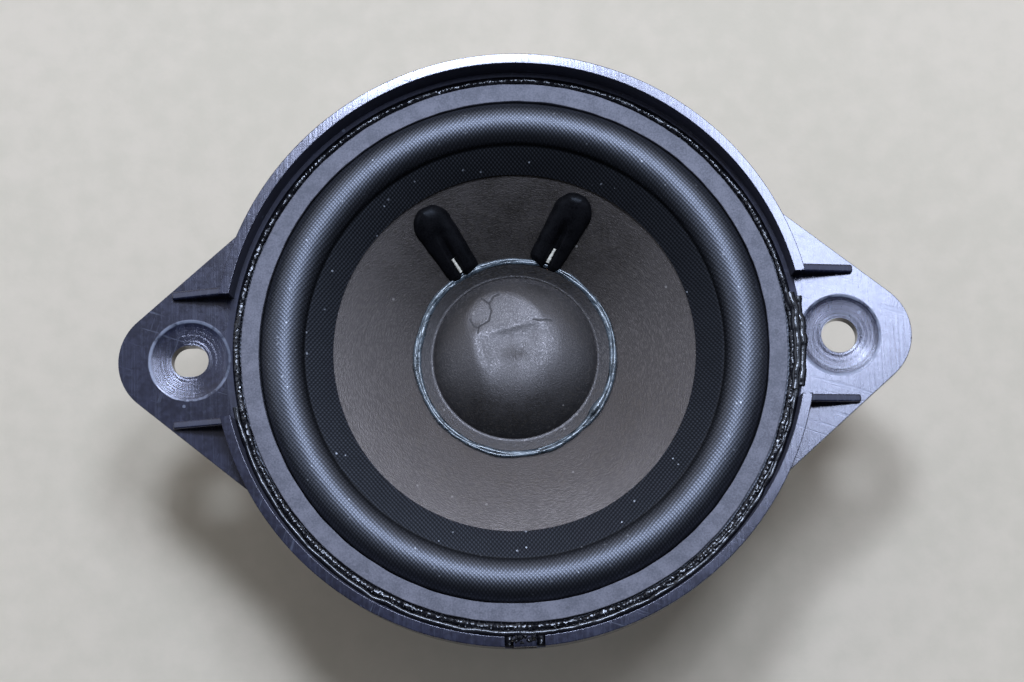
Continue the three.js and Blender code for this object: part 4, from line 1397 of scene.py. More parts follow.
# ---------- voice coil
@dataclass(frozen=True)
class VoiceCoil:
    """Former, winding and neck adhesive."""

    former_inner: float = 9.9
    former_wall: float = 0.25
    coil_low: float = 12.0
    coil_high: float = 18.0
    coil_depth: float = 0.5
    coil_gap: float = 0.06
    turns: int = 24
    former_top: float = 27.9

    def build(self) -> None:
        """Turns and places the pieces."""
        outer = self.former_inner + self.former_wall
        low, high = self.coil_low - 0.4, self.former_top
        tube = [(self.former_inner, low), (outer, low), (outer, high), (self.former_inner, high)]
        former = turned("former_tube", tube, FORMER_FILM, MEDIUM_ROUND)
        settle(former, Body.MOVING, Slot.FILM, "voice_coil_former")
        inner = outer + self.coil_gap
        step = (self.coil_high - self.coil_low) / self.turns
        ripple = [(inner + self.coil_depth - 0.05 * (i % 2), self.coil_low + i * step)
                  for i in range(self.turns + 1)]
        coil = [(inner, self.coil_low), *ripple, (inner, self.coil_high)]
        winding = turned("winding", coil, COPPER_WIRE, MEDIUM_ROUND)
        settle(winding, Body.MOVING, Slot.COPPER, "voice_coil_winding")
        neck = CONE_FACE.neck_z - 0.6
        fillet = [(inner, neck - 1.4), (inner + 0.44, neck - 1.4), (inner + 0.7, neck - 0.8),
                  (11.2, neck - 0.1), (11.9, neck + 0.7), (10.5, neck), (inner, neck)]
        bead = turned("neck_fillet", rounded(fillet, 0.2), LEAD_ADHESIVE, MEDIUM_ROUND)
        settle(bead, Body.MOVING, Slot.BLACK_ADHESIVE, "neck_adhesive")


# ---------- cone, dust cap and their adhesive
@dataclass(frozen=True)
class Cone:
    """The pressed paper cone."""

    thickness: float = 0.5
    steps: int = 44

    def build(self) -> None:
        """Turns the cone with a faint waviness."""
        face = CONE_FACE
        radii = np.linspace(face.neck_radius, face.edge_radius, self.steps)
        front = [(float(r), float(face.z(r))) for r in radii]
        back = [(r, z - self.thickness) for r, z in reversed(front)]

        def waver(points: np.ndarray) -> np.ndarray:
            """Lifts the sheet a little here and there."""
            points[:, 2] += wander(points * (1, 1, 0), 5.0, 0.035, 2.0)
            return points

        cone = turned("paper_cone", [*front, *back], CONE_PAPER, FINE_ROUND, waver)
        settle(cone, Body.MOVING, Slot.CONE, "cone")


@dataclass(frozen=True)
class DustCap:
    """Domed paper cap with a flat brim, dented and creased in its back half."""

    layout: Layout
    dome_radius: float = 12.35
    dome_height: float = 4.55
    dome_power: float = 0.78
    ridge_height: float = 0.08
    pinch_depth: float = 0.46
    pinch_reach: float = 2.6
    crease_depth: float = 0.035
    crease_half: float = 0.12
    thickness: float = 0.4
    lift: float = 0.1
    rings: int = 118
    spokes: int = 300
    veins: tuple[tuple[tuple[float, float], ...], ...] = (
        ((-4.8, 9.1), (-3.6, 8.1), (-3.3, 6.9), (-3.7, 5.3), (-5.2, 4.5), (-5.4, 3.4)),
        ((-3.6, 8.1), (-2.9, 9.2), (-2.1, 9.6)),
        ((-6.6, 5.8), (-6.0, 4.6), (-5.3, 4.2)),
        ((3.0, 5.2), (3.8, 5.0), (4.8, 5.1), (5.8, 5.0)),
    )

    def crease_distance(self, x: np.ndarray, y: np.ndarray) -> np.ndarray:
        """Distance of each point from the nearest fine crease.

        Args:
            x: Places along X.
            y: Places along Y.

        Returns:
            The distances.
        """
        nearest = np.full(x.shape, 99.0)
        for vein in self.veins:
            for (x0, y0), (x1, y1) in zip(vein, vein[1:]):
                dx, dy = x1 - x0, y1 - y0
                t = np.clip(((x - x0) * dx + (y - y0) * dy) / (dx * dx + dy * dy), 0, 1)
                nearest = np.minimum(nearest, np.hypot(x - x0 - t * dx, y - y0 - t * dy))
        return nearest

    def height(self, x: np.ndarray, y: np.ndarray) -> np.ndarray:
        """Height of the cap's front face.

        Args:
            x: Places along X.
            y: Places along Y.

        Returns:
            The heights.
        """
        radius = np.hypot(x, y)
        foot = self.lift + self.thickness
        dome = CONE_FACE.z(self.dome_radius) + foot + self.dome(radius)
        brim = CONE_FACE.z(np.maximum(radius, self.dome_radius)) + foot
        ridge = self.ridge_height * np.exp(-((radius - self.dome_radius - 0.12) / 0.17) ** 2)
        skin = np.where(radius < self.dome_radius, dome, brim) + ridge
        return skin - self.dent(x, y) * np.clip(self.inside(radius) * 6, 0, 1)

    def inside(self, radius: np.ndarray) -> np.ndarray:
        """How far inside the dome's foot a radius is: 1 at the axis, 0 at the foot."""
        return np.clip(1 - (radius / self.dome_radius) ** 2, 0, 1)

    def dome(self, radius: np.ndarray) -> np.ndarray:
        """Height of the true dome above its foot."""
        return self.dome_height * self.inside(radius) ** self.dome_power

    def dent(self, x: np.ndarray, y: np.ndarray) -> np.ndarray:
        """Depth of the dents below the true dome.

        Args:
            x: Places along X.
            y: Places along Y.

        Returns:
            The depths.
        """
        crest = 4.2 + 0.2 * np.minimum(x, 3.4)
        below = 0.5 * (crest - y + np.hypot(crest - y, 0.3))
        fold = np.interp(y, (-1.95, 1.1, 2.2, 3.6), (-4.4, -5.7, -6.1, -5.6))
        left = smooth((x - fold + 1.3) / 3.2)
        kept = 1 - (1 - left) * (1 - smooth((y - crest) / 2.4))
        pressed = self.flat_depth(x, y + below) * kept * np.exp(-(below / 8.0) ** 2)
        sunk = below / self.pinch_reach
        pinch = self.pinch_depth * sunk * np.exp(1 - sunk) * smooth((7.0 - np.abs(x - 0.4)) / 5.5)
        fine = self.crease_depth * np.exp(-(self.crease_distance(x, y) / self.crease_half) ** 2)
        return pressed + pinch + fine

    def flat_depth(self, x: np.ndarray, y: np.ndarray) -> np.ndarray:
        """Depth of the flat patch that is pressed into the dome's back half.

        Args:
            x: Places along X.
            y: Places along Y.

        Returns:
            The depths.
        """
        plane = 3.12 + 0.08 * (x + 1.5) - 0.22 * (y - 5.0) + 0.012 * (x + 1.5) * (y - 6)
        cut = self.dome(np.hypot(x, y)) - plane
        return np.maximum(0.5 * (cut + np.sqrt(cut * cut + 0.05)) - 0.06, 0)

    def build(self) -> None:
        """Makes the cap as a closed shell with its creases marked."""
        radii = np.concatenate([[0.0], np.linspace(0.18, self.layout.brim_radius, self.rings)])
        angles = np.linspace(0, 2 * math.pi, self.spokes, endpoint=False)
        x, y = np.outer(radii, np.cos(angles)).ravel(), np.outer(radii, np.sin(angles)).ravel()
        front = np.stack([x, y, self.height(x, y)], axis=-1)
        shape = np.concatenate([front, front - (0, 0, self.thickness)])
        cap = mesh_piece("dented_cap", shape, shell_faces(len(radii), self.spokes), CAP_PAPER)
        self.mark_creases(cap)
        settle(cap, Body.MOVING, Slot.CAP, "dust_cap")

    def mark_creases(self, cap: Piece) -> None:
        """Writes how creased each point is, for the paper's painted shade in the creases and its roughness.

        Args:
            cap: The cap.
        """
        places = np.array([v.co for v in cap.data.vertices]) / MM
        share = 0.85 * np.exp(-(self.crease_distance(places[:, 0], places[:, 1]) / 0.11) ** 2)
        attribute = cap.data.attributes.new("crease_shade", "FLOAT", "POINT")
        attribute.data.foreach_set("value", share.astype(np.float32))


@dataclass(frozen=True)
class CapAdhesive:
    """The glassy bead round the dust cap's brim, laid in three uneven strands."""

    strands: tuple[tuple[float, float, float], ...] = (  # radius, bead radius, seed
        (14.62, 0.36, 3.0), (15.02, 0.27, 8.0), (14.8, 0.3, 5.0))
    wander: float = 0.3
    lift: float = 0.22
    steps: int = 1100

    def build(self) -> None:
        """Grows the strands and places them as one piece."""
        grown_strands = []
        for number, (radius, bead, seed) in enumerate(self.strands):
            path = []
            for degrees in range(0, 360, 2):
                a = math.radians(degrees)
                r = radius + self.wander * noise.noise(Vector((2.5 * math.cos(a), 2.5 * math.sin(a), seed)))
                path.append((r * math.cos(a), r * math.sin(a), float(CONE_FACE.z(r)) + self.lift))
            grown_strands.append(grown(f"cap_strand_{number}", path, True, BeadTree(), CAP_ADHESIVE,
                                       Bead_Radius=bead * MM, Swell=0.8, Swell_Scale=190.0,
                                       Lump_Depth=0.03 * MM, Lump_Scale=1500.0, Seed=seed, Steps=self.steps))
        bead = joined("cap_bead", grown_strands)
        settle(bead, Body.MOVING, Slot.CLEAR_ADHESIVE, "dust_cap_adhesive")


def joined(name: str, pieces: Sequence[Piece]) -> Piece:
    """Puts several meshes of one material into one object.

    Args:
        name: The new object's name.
        pieces: The objects, which are used up.

    Returns:
        The object.
    """
    work = bmesh.new()
    for piece in pieces:
        work.from_mesh(piece.data)
    mesh = bpy.data.meshes.new(name)
    work.to_mesh(mesh)
    work.free()
    mesh.materials.append(pieces[0].data.materials[0])
    mesh.polygons.foreach_set("material_index", np.zeros(len(mesh.polygons), np.int32))
    mesh.shade_smooth()
    for piece in pieces:
        bpy.data.objects.remove(piece)
    made = bpy.data.objects.new(name, mesh)
    bpy.context.scene.collection.objects.link(made)
    return made


@dataclass(frozen=True)
class LeadMound:
    """A glossy mound of black adhesive over a lead-out wire, with a groove and a pale sleeve."""

    side: str
    base_angle: float
    end_angle: float
    groove_side: float
    base_radius: float = 15.3
    end_radius: float = 23.0
    half_width: float = 2.9
    height: float = 1.5
    clearance: float = 0.06
    skin: float = 0.04
    groove_depth: float = 1.0
    groove_half: float = 0.55
    groove_shift: float = 0.45
    rings: int = 26
    around: int = 160

    def point(self, radius: float, angle: float) -> np.ndarray:
        """A point in the XY plane from its radius and angle."""
        return radius * np.array([math.cos(math.radians(angle)), math.sin(math.radians(angle))])

    def build(self) -> None:
        """Makes the mound and its sleeve."""
        base, end = self.point(self.base_radius, self.base_angle), self.point(self.end_radius, self.end_angle)
        along = (end - base) / np.linalg.norm(end - base)
        across = np.array([-along[1], along[0]])
        length = float(np.linalg.norm(end - base))
        front, back = [], []
        for ring in range(self.rings + 1):
            share = ring / self.rings
            for step in range(self.around):
                spine, edge = self.outline(step / self.around, length)
                place = spine + share * (edge - spine)
                x, y = base + along * place[0] + across * place[1]
                foot = float(CONE_FACE.z(math.hypot(x, y))) + self.clearance
                lumps = 0.07 * noise.noise(Vector((x * 0.55, y * 0.55, self.groove_side * 4)))
                front.append((x, y, foot + self.skin + max(self.rise(place, share, length) + lumps, 0.0)))
                back.append((x, y, foot))
        faces = shell_faces(self.rings + 1, self.around)
        mound = mesh_piece(f"lead_mound_{self.side}", np.array(front + back), faces, LEAD_ADHESIVE)
        settle(mound, Body.MOVING, Slot.BLACK_ADHESIVE, f"lead_adhesive_{self.side}")
        self.sleeve(base, along, across)

    def rise(self, place: np.ndarray, share: float, length: float) -> float:
        """Height of the mound's crown above its edge.

        Args:
            place: A point, along and across the mound.
            share: Way from the spine to the edge, from 0 to 1.
            length: Length of the spine.

        Returns:
            The height.
        """
        swell = (1 - share ** 2.3) ** 0.62 if share < 1 else 0.0
        fullness = 0.86 + 0.14 * min(1.0, max(0.0, place[0] / length))
        return self.height * swell * fullness - self.groove(place, length) * swell

    def outline(self, share: float, length: float) -> tuple[np.ndarray, np.ndarray]:
        """A point on the mound's edge, and the point of its spine that it belongs to.

        Args:
            share: Way round the edge, from 0 to 1.
            length: Length of the spine.

        Returns:
            The spine's point and the edge's point, along and across the mound.
        """
        half = math.pi * self.half_width
        total = 2 * half + 2 * length
        walk = share * total
        if walk < half:
            a, reach = walk / self.half_width - math.pi / 2, length
        elif walk < half + length:
            a, reach = math.pi / 2, length - (walk - half)
        elif walk < 2 * half + length:
            a, reach = (walk - half - length) / self.half_width + math.pi / 2, 0.0
        else:
            a, reach = -math.pi / 2, walk - 2 * half - length
        spine = np.array([reach, 0.0])
        wide = self.half_width * (0.88 + 0.16 * reach / length)
        wide *= 1 + 0.05 * noise.noise(Vector((reach * 0.5, 3 * math.sin(a), self.groove_side)))
        lengthwise = 0.35 if math.cos(a) < -0.01 else 1.0
        edge = spine + np.array([wide * lengthwise * math.cos(a), wide * math.sin(a)])
        return spine, edge

    def groove(self, place: np.ndarray, length: float) -> float:
        """Depth of the groove that runs up the mound from its base.

        Args:
            place: A point, along and across the mound.
            length: Length of the spine.

        Returns:
            The depth.
        """
        centre = self.groove_side * self.groove_shift * (1 - place[0] / length)
        fade = max(0.0, min(1.0, (0.86 * length - place[0]) / 2.5))
        return self.groove_depth * math.exp(-((place[1] - centre) / self.groove_half) ** 2) * fade

    def sleeve(self, base: np.ndarray, along: np.ndarray, across: np.ndarray) -> None:
        """Places the pale sleeve that shows in the groove near the base.

        Args:
            base: Foot of the mound.
            along: Direction up the mound.
            across: Direction across it.
        """
        path = []
        for step in range(9):
            run = 0.1 + 0.27 * step
            x, y = base + along * run + across * self.groove_side * self.groove_shift
            path.append((x, y, float(CONE_FACE.z(math.hypot(x, y))) + 0.78 - 0.03 * abs(step - 4)))
        sleeve = grown(f"lead_sleeve_{self.side}", path, False, BeadTree(), PALE_SLEEVE,
                       Bead_Radius=0.24 * MM, Swell=0.25, Swell_Scale=900.0, Lump_Depth=0.03 * MM,
                       Lump_Scale=2500.0, Seed=5.0, Steps=40)
        settle(sleeve, Body.MOVING, Slot.CONE)


# ---------- surround, gasket and edge adhesive
@dataclass(frozen=True)
class Surround:
    """The rubberised-cloth half-roll and its skirt."""

    layout: Layout
    outer_radius: float = 41.2
    roll_outer: float = 37.5
    roll_inner: float = 31.1
    roll_height: float = 2.9
    skirt_radius: float = 26.9
    thickness: float = 0.4
    flat_inner: float = 38.4
    skirt_start: float = 30.4
    arc_steps: int = 48
    rests_on: float = 0.1  # gap between the skirt and the cone

    def front_line(self) -> np.ndarray:
        """The front face from the outer edge to the skirt's edge, with soft valleys."""
        middle, reach = (self.roll_outer + self.roll_inner) / 2, (self.roll_outer - self.roll_inner) / 2
        seat = self.layout.seat
        fall = float(CONE_FACE.z(self.roll_inner)) + self.rests_on - seat
        line = [(self.outer_radius, seat), (self.flat_inner, seat)]
        for step in range(self.arc_steps + 1):
            a = math.pi * step / self.arc_steps
            base = seat + fall * step / self.arc_steps
            line.append((middle + reach * math.cos(a), base + self.roll_height * math.sin(a)))
        line += [(float(r), float(CONE_FACE.z(r)) + self.rests_on)
                 for r in np.linspace(self.skirt_start, self.skirt_radius, 12)]
        even = self.evened(np.array(line), 150)
        for _ in range(5):
            even[1:-1] = 0.5 * even[1:-1] + 0.25 * (even[:-2] + even[2:])
        return even + (0, self.thickness)

    @staticmethod
    def evened(line: np.ndarray, count: int) -> np.ndarray:
        """Spaces points evenly along a line.

        Args:
            line: Its points.
            count: How many to make.

        Returns:
            The new points.
        """
        steps = np.hypot(*np.diff(line, axis=0).T)
        run = np.concatenate([[0], np.cumsum(steps)])
        wanted = np.linspace(0, run[-1], count)
        return np.stack([np.interp(wanted, run, line[:, i]) for i in (0, 1)], axis=-1)

    def build(self) -> None:
        """Turns the surround."""
        front = self.front_line()
        tangent = np.gradient(front, axis=0)
        normal = np.stack([tangent[:, 1], -tangent[:, 0]], axis=-1)
        normal /= np.linalg.norm(normal, axis=1)[:, None]
        inward = -normal if normal[len(normal) // 2, 1] > 0 else normal
        back = front + self.thickness * inward
        profile = [tuple(map(float, p)) for p in [*front, *back[::-1]]]

        def waver(points: np.ndarray) -> np.ndarray:
            """Gives the roll a hand-made unevenness."""
            points[:, 2] += wander(points * (1, 1, 0), 9.0, 0.07, 5.0)
            return points

        surround = turned("cloth_surround", profile, SURROUND_CLOTH, FINE_ROUND, waver)
        flexing(surround)
        finish_piece(surround, Slot.CLOTH, "surround")


@dataclass(frozen=True)
class Gasket:
    """The grey card ring that holds the surround's edge down."""

    layout: Layout
    inner_radius: float = 37.7

    def build(self) -> None:
        """Turns the ring with a slightly ragged edge."""
        plan = self.layout
        profile = [(self.inner_radius, plan.gasket_bottom), (plan.gasket_radius, plan.gasket_bottom),
                   (plan.gasket_radius, plan.gasket_top), (self.inner_radius, plan.gasket_top)]

        def ragged(points: np.ndarray) -> np.ndarray:
            """Moves the edges in and out a little."""
            radius = np.hypot(points[:, 0], points[:, 1])
            shift = wander(points * (1, 1, 0), 2.5, 0.07, 1.0) + wander(points * (1, 1, 0), 14.0, 0.1, 6.0)
            points[:, :2] *= (1 + (shift - 0.1) / radius)[:, None]
            return points

        ring = turned("card_gasket", rounded(profile, 0.16), GASKET_CARD, 720, ragged)
        settle(even_shading(ring), Body.FRAME, Slot.CARD, "gasket_ring")


@dataclass(frozen=True)
class EdgeAdhesive:
    """The lumpy black adhesive in the groove outside the gasket."""

    layout: Layout
    radius: float = 41.0
    spills: tuple[tuple[float, tuple[float, float], float, float, float], ...] = (
        # radius, angles, lift, bead radius, seed
        (41.6, (-11.0, 9.0), 0.95, 0.68, 2.0), (42.4, (-10.0, 8.0), 0.75, 0.68, 4.0),
        (41.85, (190, 350), 0.6, 0.496, 6.0), (41.4, (-60, -12), 0.7, 0.4, 7.0))
    gap_x: float = 2.3

    def ring_path(self, radius: float, lift: float, seed: float) -> list[tuple[float, float, float]]:
        """A wandering circle round the speaker.

        Args:
            radius: Its mean radius.
            lift: Its height above the gasket's bottom.
            seed: Changes how it wanders.

        Returns:
            Its points.
        """
        path = []
        for step in range(360):
            a = math.radians(step)
            r = radius + 0.14 * noise.noise(Vector((7 * math.cos(a), 7 * math.sin(a), seed)))
            low = 0.5 * smooth(np.array((math.sin(a) - 0.1) / 0.6))
            path.append((r * math.cos(a), r * math.sin(a), self.layout.gasket_bottom + lift - float(low)))
        return path

    def arc_path(self, radius: float, span: tuple[float, float], lift: float,
                 seed: float) -> list[tuple[float, float, float]]:
        """A wandering arc.

        Args:
            radius: Its mean radius.
            span: First and last angle.
            lift: Its height above the gasket's bottom.
            seed: Changes how it wanders.

        Returns:
            Its points.
        """
        path = []
        for angle in np.linspace(*span, 60):
            a = math.radians(angle)
            r = radius + 0.45 * noise.noise(Vector((angle * 0.3, seed, 0)))
            path.append((r * math.cos(a), r * math.sin(a), self.layout.gasket_bottom + lift))
        return path

    def build(self) -> None:
        """Grows the strands and crumbs and joins them."""
        bead, crumb = BeadTree(), CrumbTree()
        strands = [grown("edge_strand", self.ring_path(self.radius, 0.66, 1.0), True, bead, EDGE_ADHESIVE,
                         Bead_Radius=0.46 * MM, Swell=0.3, Swell_Scale=300.0, Lump_Depth=0.1 * MM,
                         Lump_Scale=2800.0, Seed=1.0, Steps=2200)]
        for number, (radius, span, lift, size, seed) in enumerate(self.spills):
            path = self.arc_path(radius, span, lift, seed)
            strands.append(grown(f"edge_spill_{number}", path, False, bead, EDGE_ADHESIVE,
                                 Bead_Radius=size * MM, Swell=0.25, Swell_Scale=330.0,
                                 Lump_Depth=0.04 * MM, Lump_Scale=800.0, Seed=seed, Steps=420))
        # Black adhesive beads in the two gaps beside the tab: adhesive that lies there, and a dark fill that
        # also stands in for the shade in those gaps.
        for x in (-self.gap_x, self.gap_x):
            path = [(x, -y, self.layout.gasket_bottom + 0.75) for y in (42.3, 42.7, 43.1, 43.5)]
            strands.append(grown("edge_gap_shade_fill", path, False, bead, EDGE_ADHESIVE,
                                 Bead_Radius=0.62 * MM, Swell=0.2, Lump_Depth=0.05 * MM, Seed=x, Steps=24))
        path = self.arc_path(41.35, (205, 345), 0.75, 9.0)
        strands.append(grown("edge_crumbs", path, False, crumb, EDGE_ADHESIVE, Crumb_Radius=0.32 * MM,
                             Spread=0.35 * MM, Lump_Depth=0.14 * MM, Count=110, Seed=4))
        path = self.arc_path(42.7, (267.9, 272.1), 2.55, 3.0)
        strands.append(grown("edge_tab_crumbs", path, False, crumb, EDGE_ADHESIVE, Crumb_Radius=0.42 * MM,
                             Spread=0.55 * MM, Lump_Depth=0.16 * MM, Count=16, Seed=9))
        piece = joined("edge_bead", strands)
        settle(piece, Body.FRAME, Slot.BLACK_ADHESIVE, "edge_adhesive")


# ---------- spider
@dataclass(frozen=True)
class Spider:
    """The corrugated suspension behind the cone."""

    layout: Layout
    inner_radius: float = 10.31
    ledge_inner: float = 19.4
    ledge_outer: float = 22.4
    waves: int = 3
    wave_height: float = 0.9
    collar: float = 0.9
    steps: int = 72
    thickness: float = 0.4

    def build(self) -> None:
        """Turns the corrugations."""
        level = self.layout.floor + Basket.floor_thickness + Basket.ledge[2]
        start, end, steps = self.inner_radius + self.collar, self.ledge_inner - 0.6, self.steps
        line = [(self.inner_radius, level)]
        for step in range(steps + 1):
            radius = start + (end - start) * step / steps
            wave = math.sin(2 * math.pi * self.waves * step / steps)
            line.append((radius, level + self.wave_height * wave))
        line.append((self.ledge_outer, level))
        profile = [*line, *[(r, z + self.thickness) for r, z in reversed(line)]]
        spider = turned("cloth_spider", profile, SPIDER_CLOTH, 192)
        flexing(spider)
        finish_piece(spider, Slot.SPIDER, "spider")


# ---------- terminals
@dataclass(frozen=True)
class TerminalBlock:
    """The socket block, and the ways through it for the two blades."""

    blade_x: float = 3.5
    half_width: float = 7.2
    inner_y: float = 33.0
    outer_y: float = 41.4
    low: float = 20.6
    high: float = 30.2
    wall: float = 1.2
    web: float = 1.6
    way_half: float = 1.7
    way_y: tuple[float, float] = (20, 42)
    way_z: tuple[float, float] = (22.9, 24.3)

    def build(self) -> None:
        """Cuts the block and places it. The blades keep their CAD shape."""
        half, inner, outer, low, high = self.half_width, self.inner_y, self.outer_y, self.low, self.high
        body = softened(block("terminal_socket", (-half, half), (inner, outer), (low, high), BLOCK_PLASTIC),
                        width=0.35, segments=3)
        inside = softened(block("socket", (self.wall - half, half - self.wall), (inner + self.web, outer + 3),
                                (low + self.wall, high - self.wall), BLOCK_PLASTIC), width=0.3)
        latch = block("latch", (-2, 2), (37.4, 39.4), (high - 2, high + 1), BLOCK_PLASTIC)
        combined(body, [inside, latch, *self.blade_ways(BLOCK_PLASTIC)], Cut.REMOVE)
        tidy_mesh(body.data)
        settle(even_shading(body), Body.FRAME, Slot.BLOCK, "terminal_block")

    @classmethod
    def blade_ways(cls, finish: Finish) -> list[Piece]:
        """The two slots that the blades pass through, as cutters."""
        return [block("blade way", (x - cls.way_half, x + cls.way_half), cls.way_y, cls.way_z, finish)
                for x in (-cls.blade_x, cls.blade_x)]


@dataclass(frozen=True)
class TinselLead:
    """A slack stranded lead from a cone eyelet to a blade."""

    side: str
    angle: float
    x: float
    strand_radius: float = 0.24
    twist: float = 9.0
    eyelet_radius: float = 23.2
    steps: int = 14  # between two points of the route

    def route(self) -> np.ndarray:
        """Points of the lead's centre line."""
        foot = float(CONE_FACE.z(self.eyelet_radius)) - 1.3
        a = math.radians(self.angle)
        across = np.array([math.cos(a), math.sin(a)])
        side = math.copysign(1, self.x)
        ends = [(*((self.eyelet_radius + 0.5) * across), foot),
                (*((self.eyelet_radius + 0.9) * across), foot - 1.2),
                (side * 9.4, 23.4, 29.2), (side * 8.2, 24.6, 27.8), (side * 5.6, 25.6, 27.6),
                (self.x, 25.8, 25.4)]
        points = [Vector(p) for p in ends]
        padded = [2 * points[0] - points[1], *points, 2 * points[-1] - points[-2]]
        line = []
        for i in range(1, len(padded) - 2):
            before, start, end, after = padded[i - 1:i + 3]
            for step in range(self.steps):
                t = step / self.steps
                line.append(0.5 * (2 * start + (end - before) * t
                                   + (2 * before - 5 * start + 4 * end - after) * t * t
                                   + (3 * start - before - 3 * end + after) * t ** 3))
        return np.array([*line, points[-1]])

    def build(self) -> None:
        """Twists three strands along the route."""
        route = self.route()
        tangent = np.gradient(route, axis=0)
        tangent /= np.linalg.norm(tangent, axis=1)[:, None]
        across = np.cross(tangent, (0, 0, 1.0))
        across /= np.maximum(np.linalg.norm(across, axis=1), 1e-6)[:, None]
        up = np.cross(across, tangent)
        strands = []
        for number in range(3):
            turn = 2 * math.pi * (self.twist * np.linspace(0, 1, len(route)) + number / 3)
            path = route + self.strand_radius * (np.cos(turn)[:, None] * across + np.sin(turn)[:, None] * up)
            strands.append(grown(f"tinsel_strand_{number}", [tuple(p) for p in path], False, BeadTree(),
                                 TINSEL_BRAID, Bead_Radius=self.strand_radius * MM, Swell=0.04,
                                 Lump_Depth=0.01 * MM, Steps=200))
        lead = joined(f"tinsel_{self.side}", strands)
        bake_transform(lead)
        finish_piece(lead, Slot.TINSEL, f"tinsel_lead_{self.side}")


def dress_nodes(nodes: dict[str, Piece], finishes: dict[str, Finish]) -> None:
    """Gives a finish to CAD nodes whose shape stays.

    Args:
        nodes: The frame's nodes by name.
        finishes: A finish for each of them.
    """
    for name, finish in finishes.items():
        mesh = nodes[name].data
        mesh.materials.clear()
        mesh.materials.append(finish.material())
        LOG.info("%s: CAD shape, %s", name, finish.name)


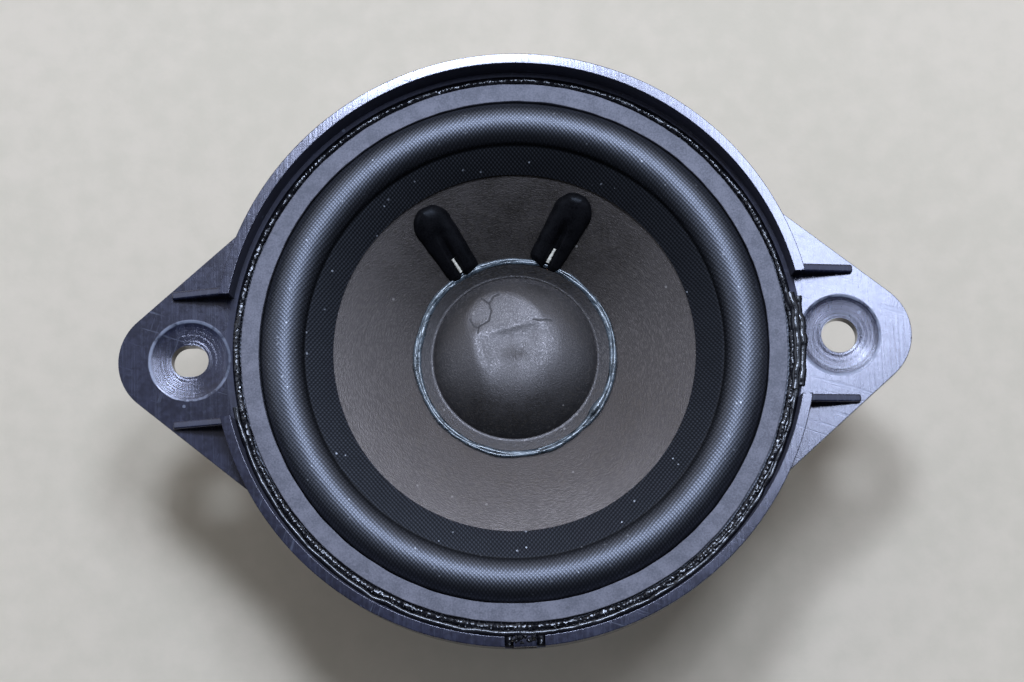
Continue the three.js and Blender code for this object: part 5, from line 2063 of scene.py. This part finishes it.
# ---------- stage
@dataclass(frozen=True)
class Studio:
    """The board, the lights and the camera."""

    distance: float = 312.2
    tilt: float = 10.76
    yaw: float = 1.15
    roll: float = 2.356
    offset: tuple[float, float] = (0.224, -0.225)
    lens: float = 75.34
    light_distance: float = 0.75
    sky_dark: float = 0.02
    sky_bright: float = 1.0
    sky_colour: Colour = (0.95, 0.95, 1.0)
    sky_way: tuple[float, float, float] = (-0.15, 0.98, 0.0)  # towards its bright side
    board_half: float = 1500.0
    board_thickness: float = 4.0
    lamp_colour: Colour = (0.70, 0.80, 1.0)
    lamps: tuple[tuple[str, tuple[float, float], tuple[float, float], float], ...] = (
        # name, lean, size, power
        ("key left", (-3.0, 23.7), (0.11, 0.11), 3.5),
        ("key right", (12.0, 23.7), (0.1, 0.1), 1.05),
        ("panel", (11.0, 14.0), (0.16, 0.17), 2.25),
        ("side fill left", (-48.0, 8.0), (0.4, 0.4), 0.8),
        ("side fill right", (48.0, 8.0), (0.4, 0.4), 0.8),
    )

    def camera(self, target_height: float) -> None:
        """Looks down at the rim's plane.

        Args:
            target_height: Height of that plane.
        """
        turn = (Matrix.Rotation(-math.radians(self.yaw), 3, "Y")
                @ Matrix.Rotation(-math.radians(self.tilt), 3, "X")
                @ Matrix.Rotation(math.radians(self.roll), 3, "Z"))
        back = turn.transposed()
        seen_from = back @ Vector((-self.offset[0], -self.offset[1], self.distance))
        data = bpy.data.cameras.new("camera")
        data.lens, data.sensor_width = self.lens, 36.0
        data.clip_start, data.clip_end = 0.01, 10.0
        eye = bpy.data.objects.new("camera", data)
        place = (seen_from + Vector((0, 0, target_height))) * MM
        eye.matrix_world = Matrix.Translation(place) @ back.to_4x4()
        bpy.context.scene.collection.objects.link(eye)
        bpy.context.scene.camera = eye

    def lamp(self, name: str, lean: tuple[float, float], size: tuple[float, float], power: float) -> None:
        """Adds a soft lamp that shines at the speaker.

        Args:
            name: Its name.
            lean: How far it leans from overhead towards +X and +Y, in degrees.
            size: Width and height, in metres.
            power: Its power, in watts.
        """
        data = bpy.data.lights.new(name, "AREA")
        data.shape, data.size, data.size_y = "RECTANGLE", size[0], size[1]
        data.energy, data.color = power, self.lamp_colour
        lamp = bpy.data.objects.new(name, data)
        way = Vector((math.tan(math.radians(lean[0])), math.tan(math.radians(lean[1])), 1)).normalized()
        lamp.location = way * self.light_distance
        lamp.rotation_euler = (-way).to_track_quat("-Z", "Y").to_euler()
        bpy.context.scene.collection.objects.link(lamp)

    def build(self, target_height: float) -> None:
        """Sets the board, sky, lamps, camera and tone.

        Args:
            target_height: Height of the plane that the camera looks at.
        """
        half = self.board_half
        corners = [(-half, -half), (half, -half), (half, half), (-half, half)]
        prism("board", corners, -self.board_thickness, 0.0, FLOOR_BOARD)
        for lamp in self.lamps:
            self.lamp(*lamp)
        world = bpy.data.worlds.new("soft sky")
        world.use_nodes = True
        graph = Graph(world.node_tree)
        way = graph.add("ShaderNodeTexCoord").outputs["Generated"]
        height = graph.add("ShaderNodeVectorMath", {0: way, 1: self.sky_way},
                           operation="DOT_PRODUCT").outputs["Value"]
        sky = world.node_tree.nodes["Background"]
        sky.inputs["Color"].default_value = rgba(self.sky_colour)
        graph.feed(sky.inputs["Strength"], graph.span(height, -0.25, 0.9, self.sky_dark, self.sky_bright))
        bpy.context.scene.world = world
        bpy.context.scene.view_settings.view_transform = "Standard"
        self.camera(target_height)


def main() -> None:
    """Loads the frame and builds the speaker round it."""
    logging.basicConfig(level=logging.INFO, format="%(name)s: %(message)s")
    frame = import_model()
    plan = Layout.from_frame()
    Studio().build(plan.rim_top)
    Basket(plan).build()
    Motor(plan).build()
    VoiceCoil().build()
    Cone().build()
    DustCap(plan).build()
    CapAdhesive().build()
    LeadMound("left", base_angle=118.4, end_angle=119.9, groove_side=1.0).build()
    LeadMound("right", base_angle=70.6, end_angle=65.7, groove_side=-1.0).build()
    Surround(plan).build()
    Gasket(plan).build()
    EdgeAdhesive(plan).build()
    Spider(plan).build()
    TerminalBlock().build()
    TinselLead("left", angle=119.3, x=-TerminalBlock.blade_x).build()
    TinselLead("right", angle=67.8, x=TerminalBlock.blade_x).build()
    kept = {"terminal_blade": BRASS, "cone_eyelet": BRASS, "solder_joint": SOLDER,
            "lead_out_wire": COPPER_WIRE}
    dress_nodes(frame["nodes"], {f"{name}_{side}": finish for name, finish in kept.items()
                                 for side in ("left", "right")})


if __name__ == "__main__":
    main()
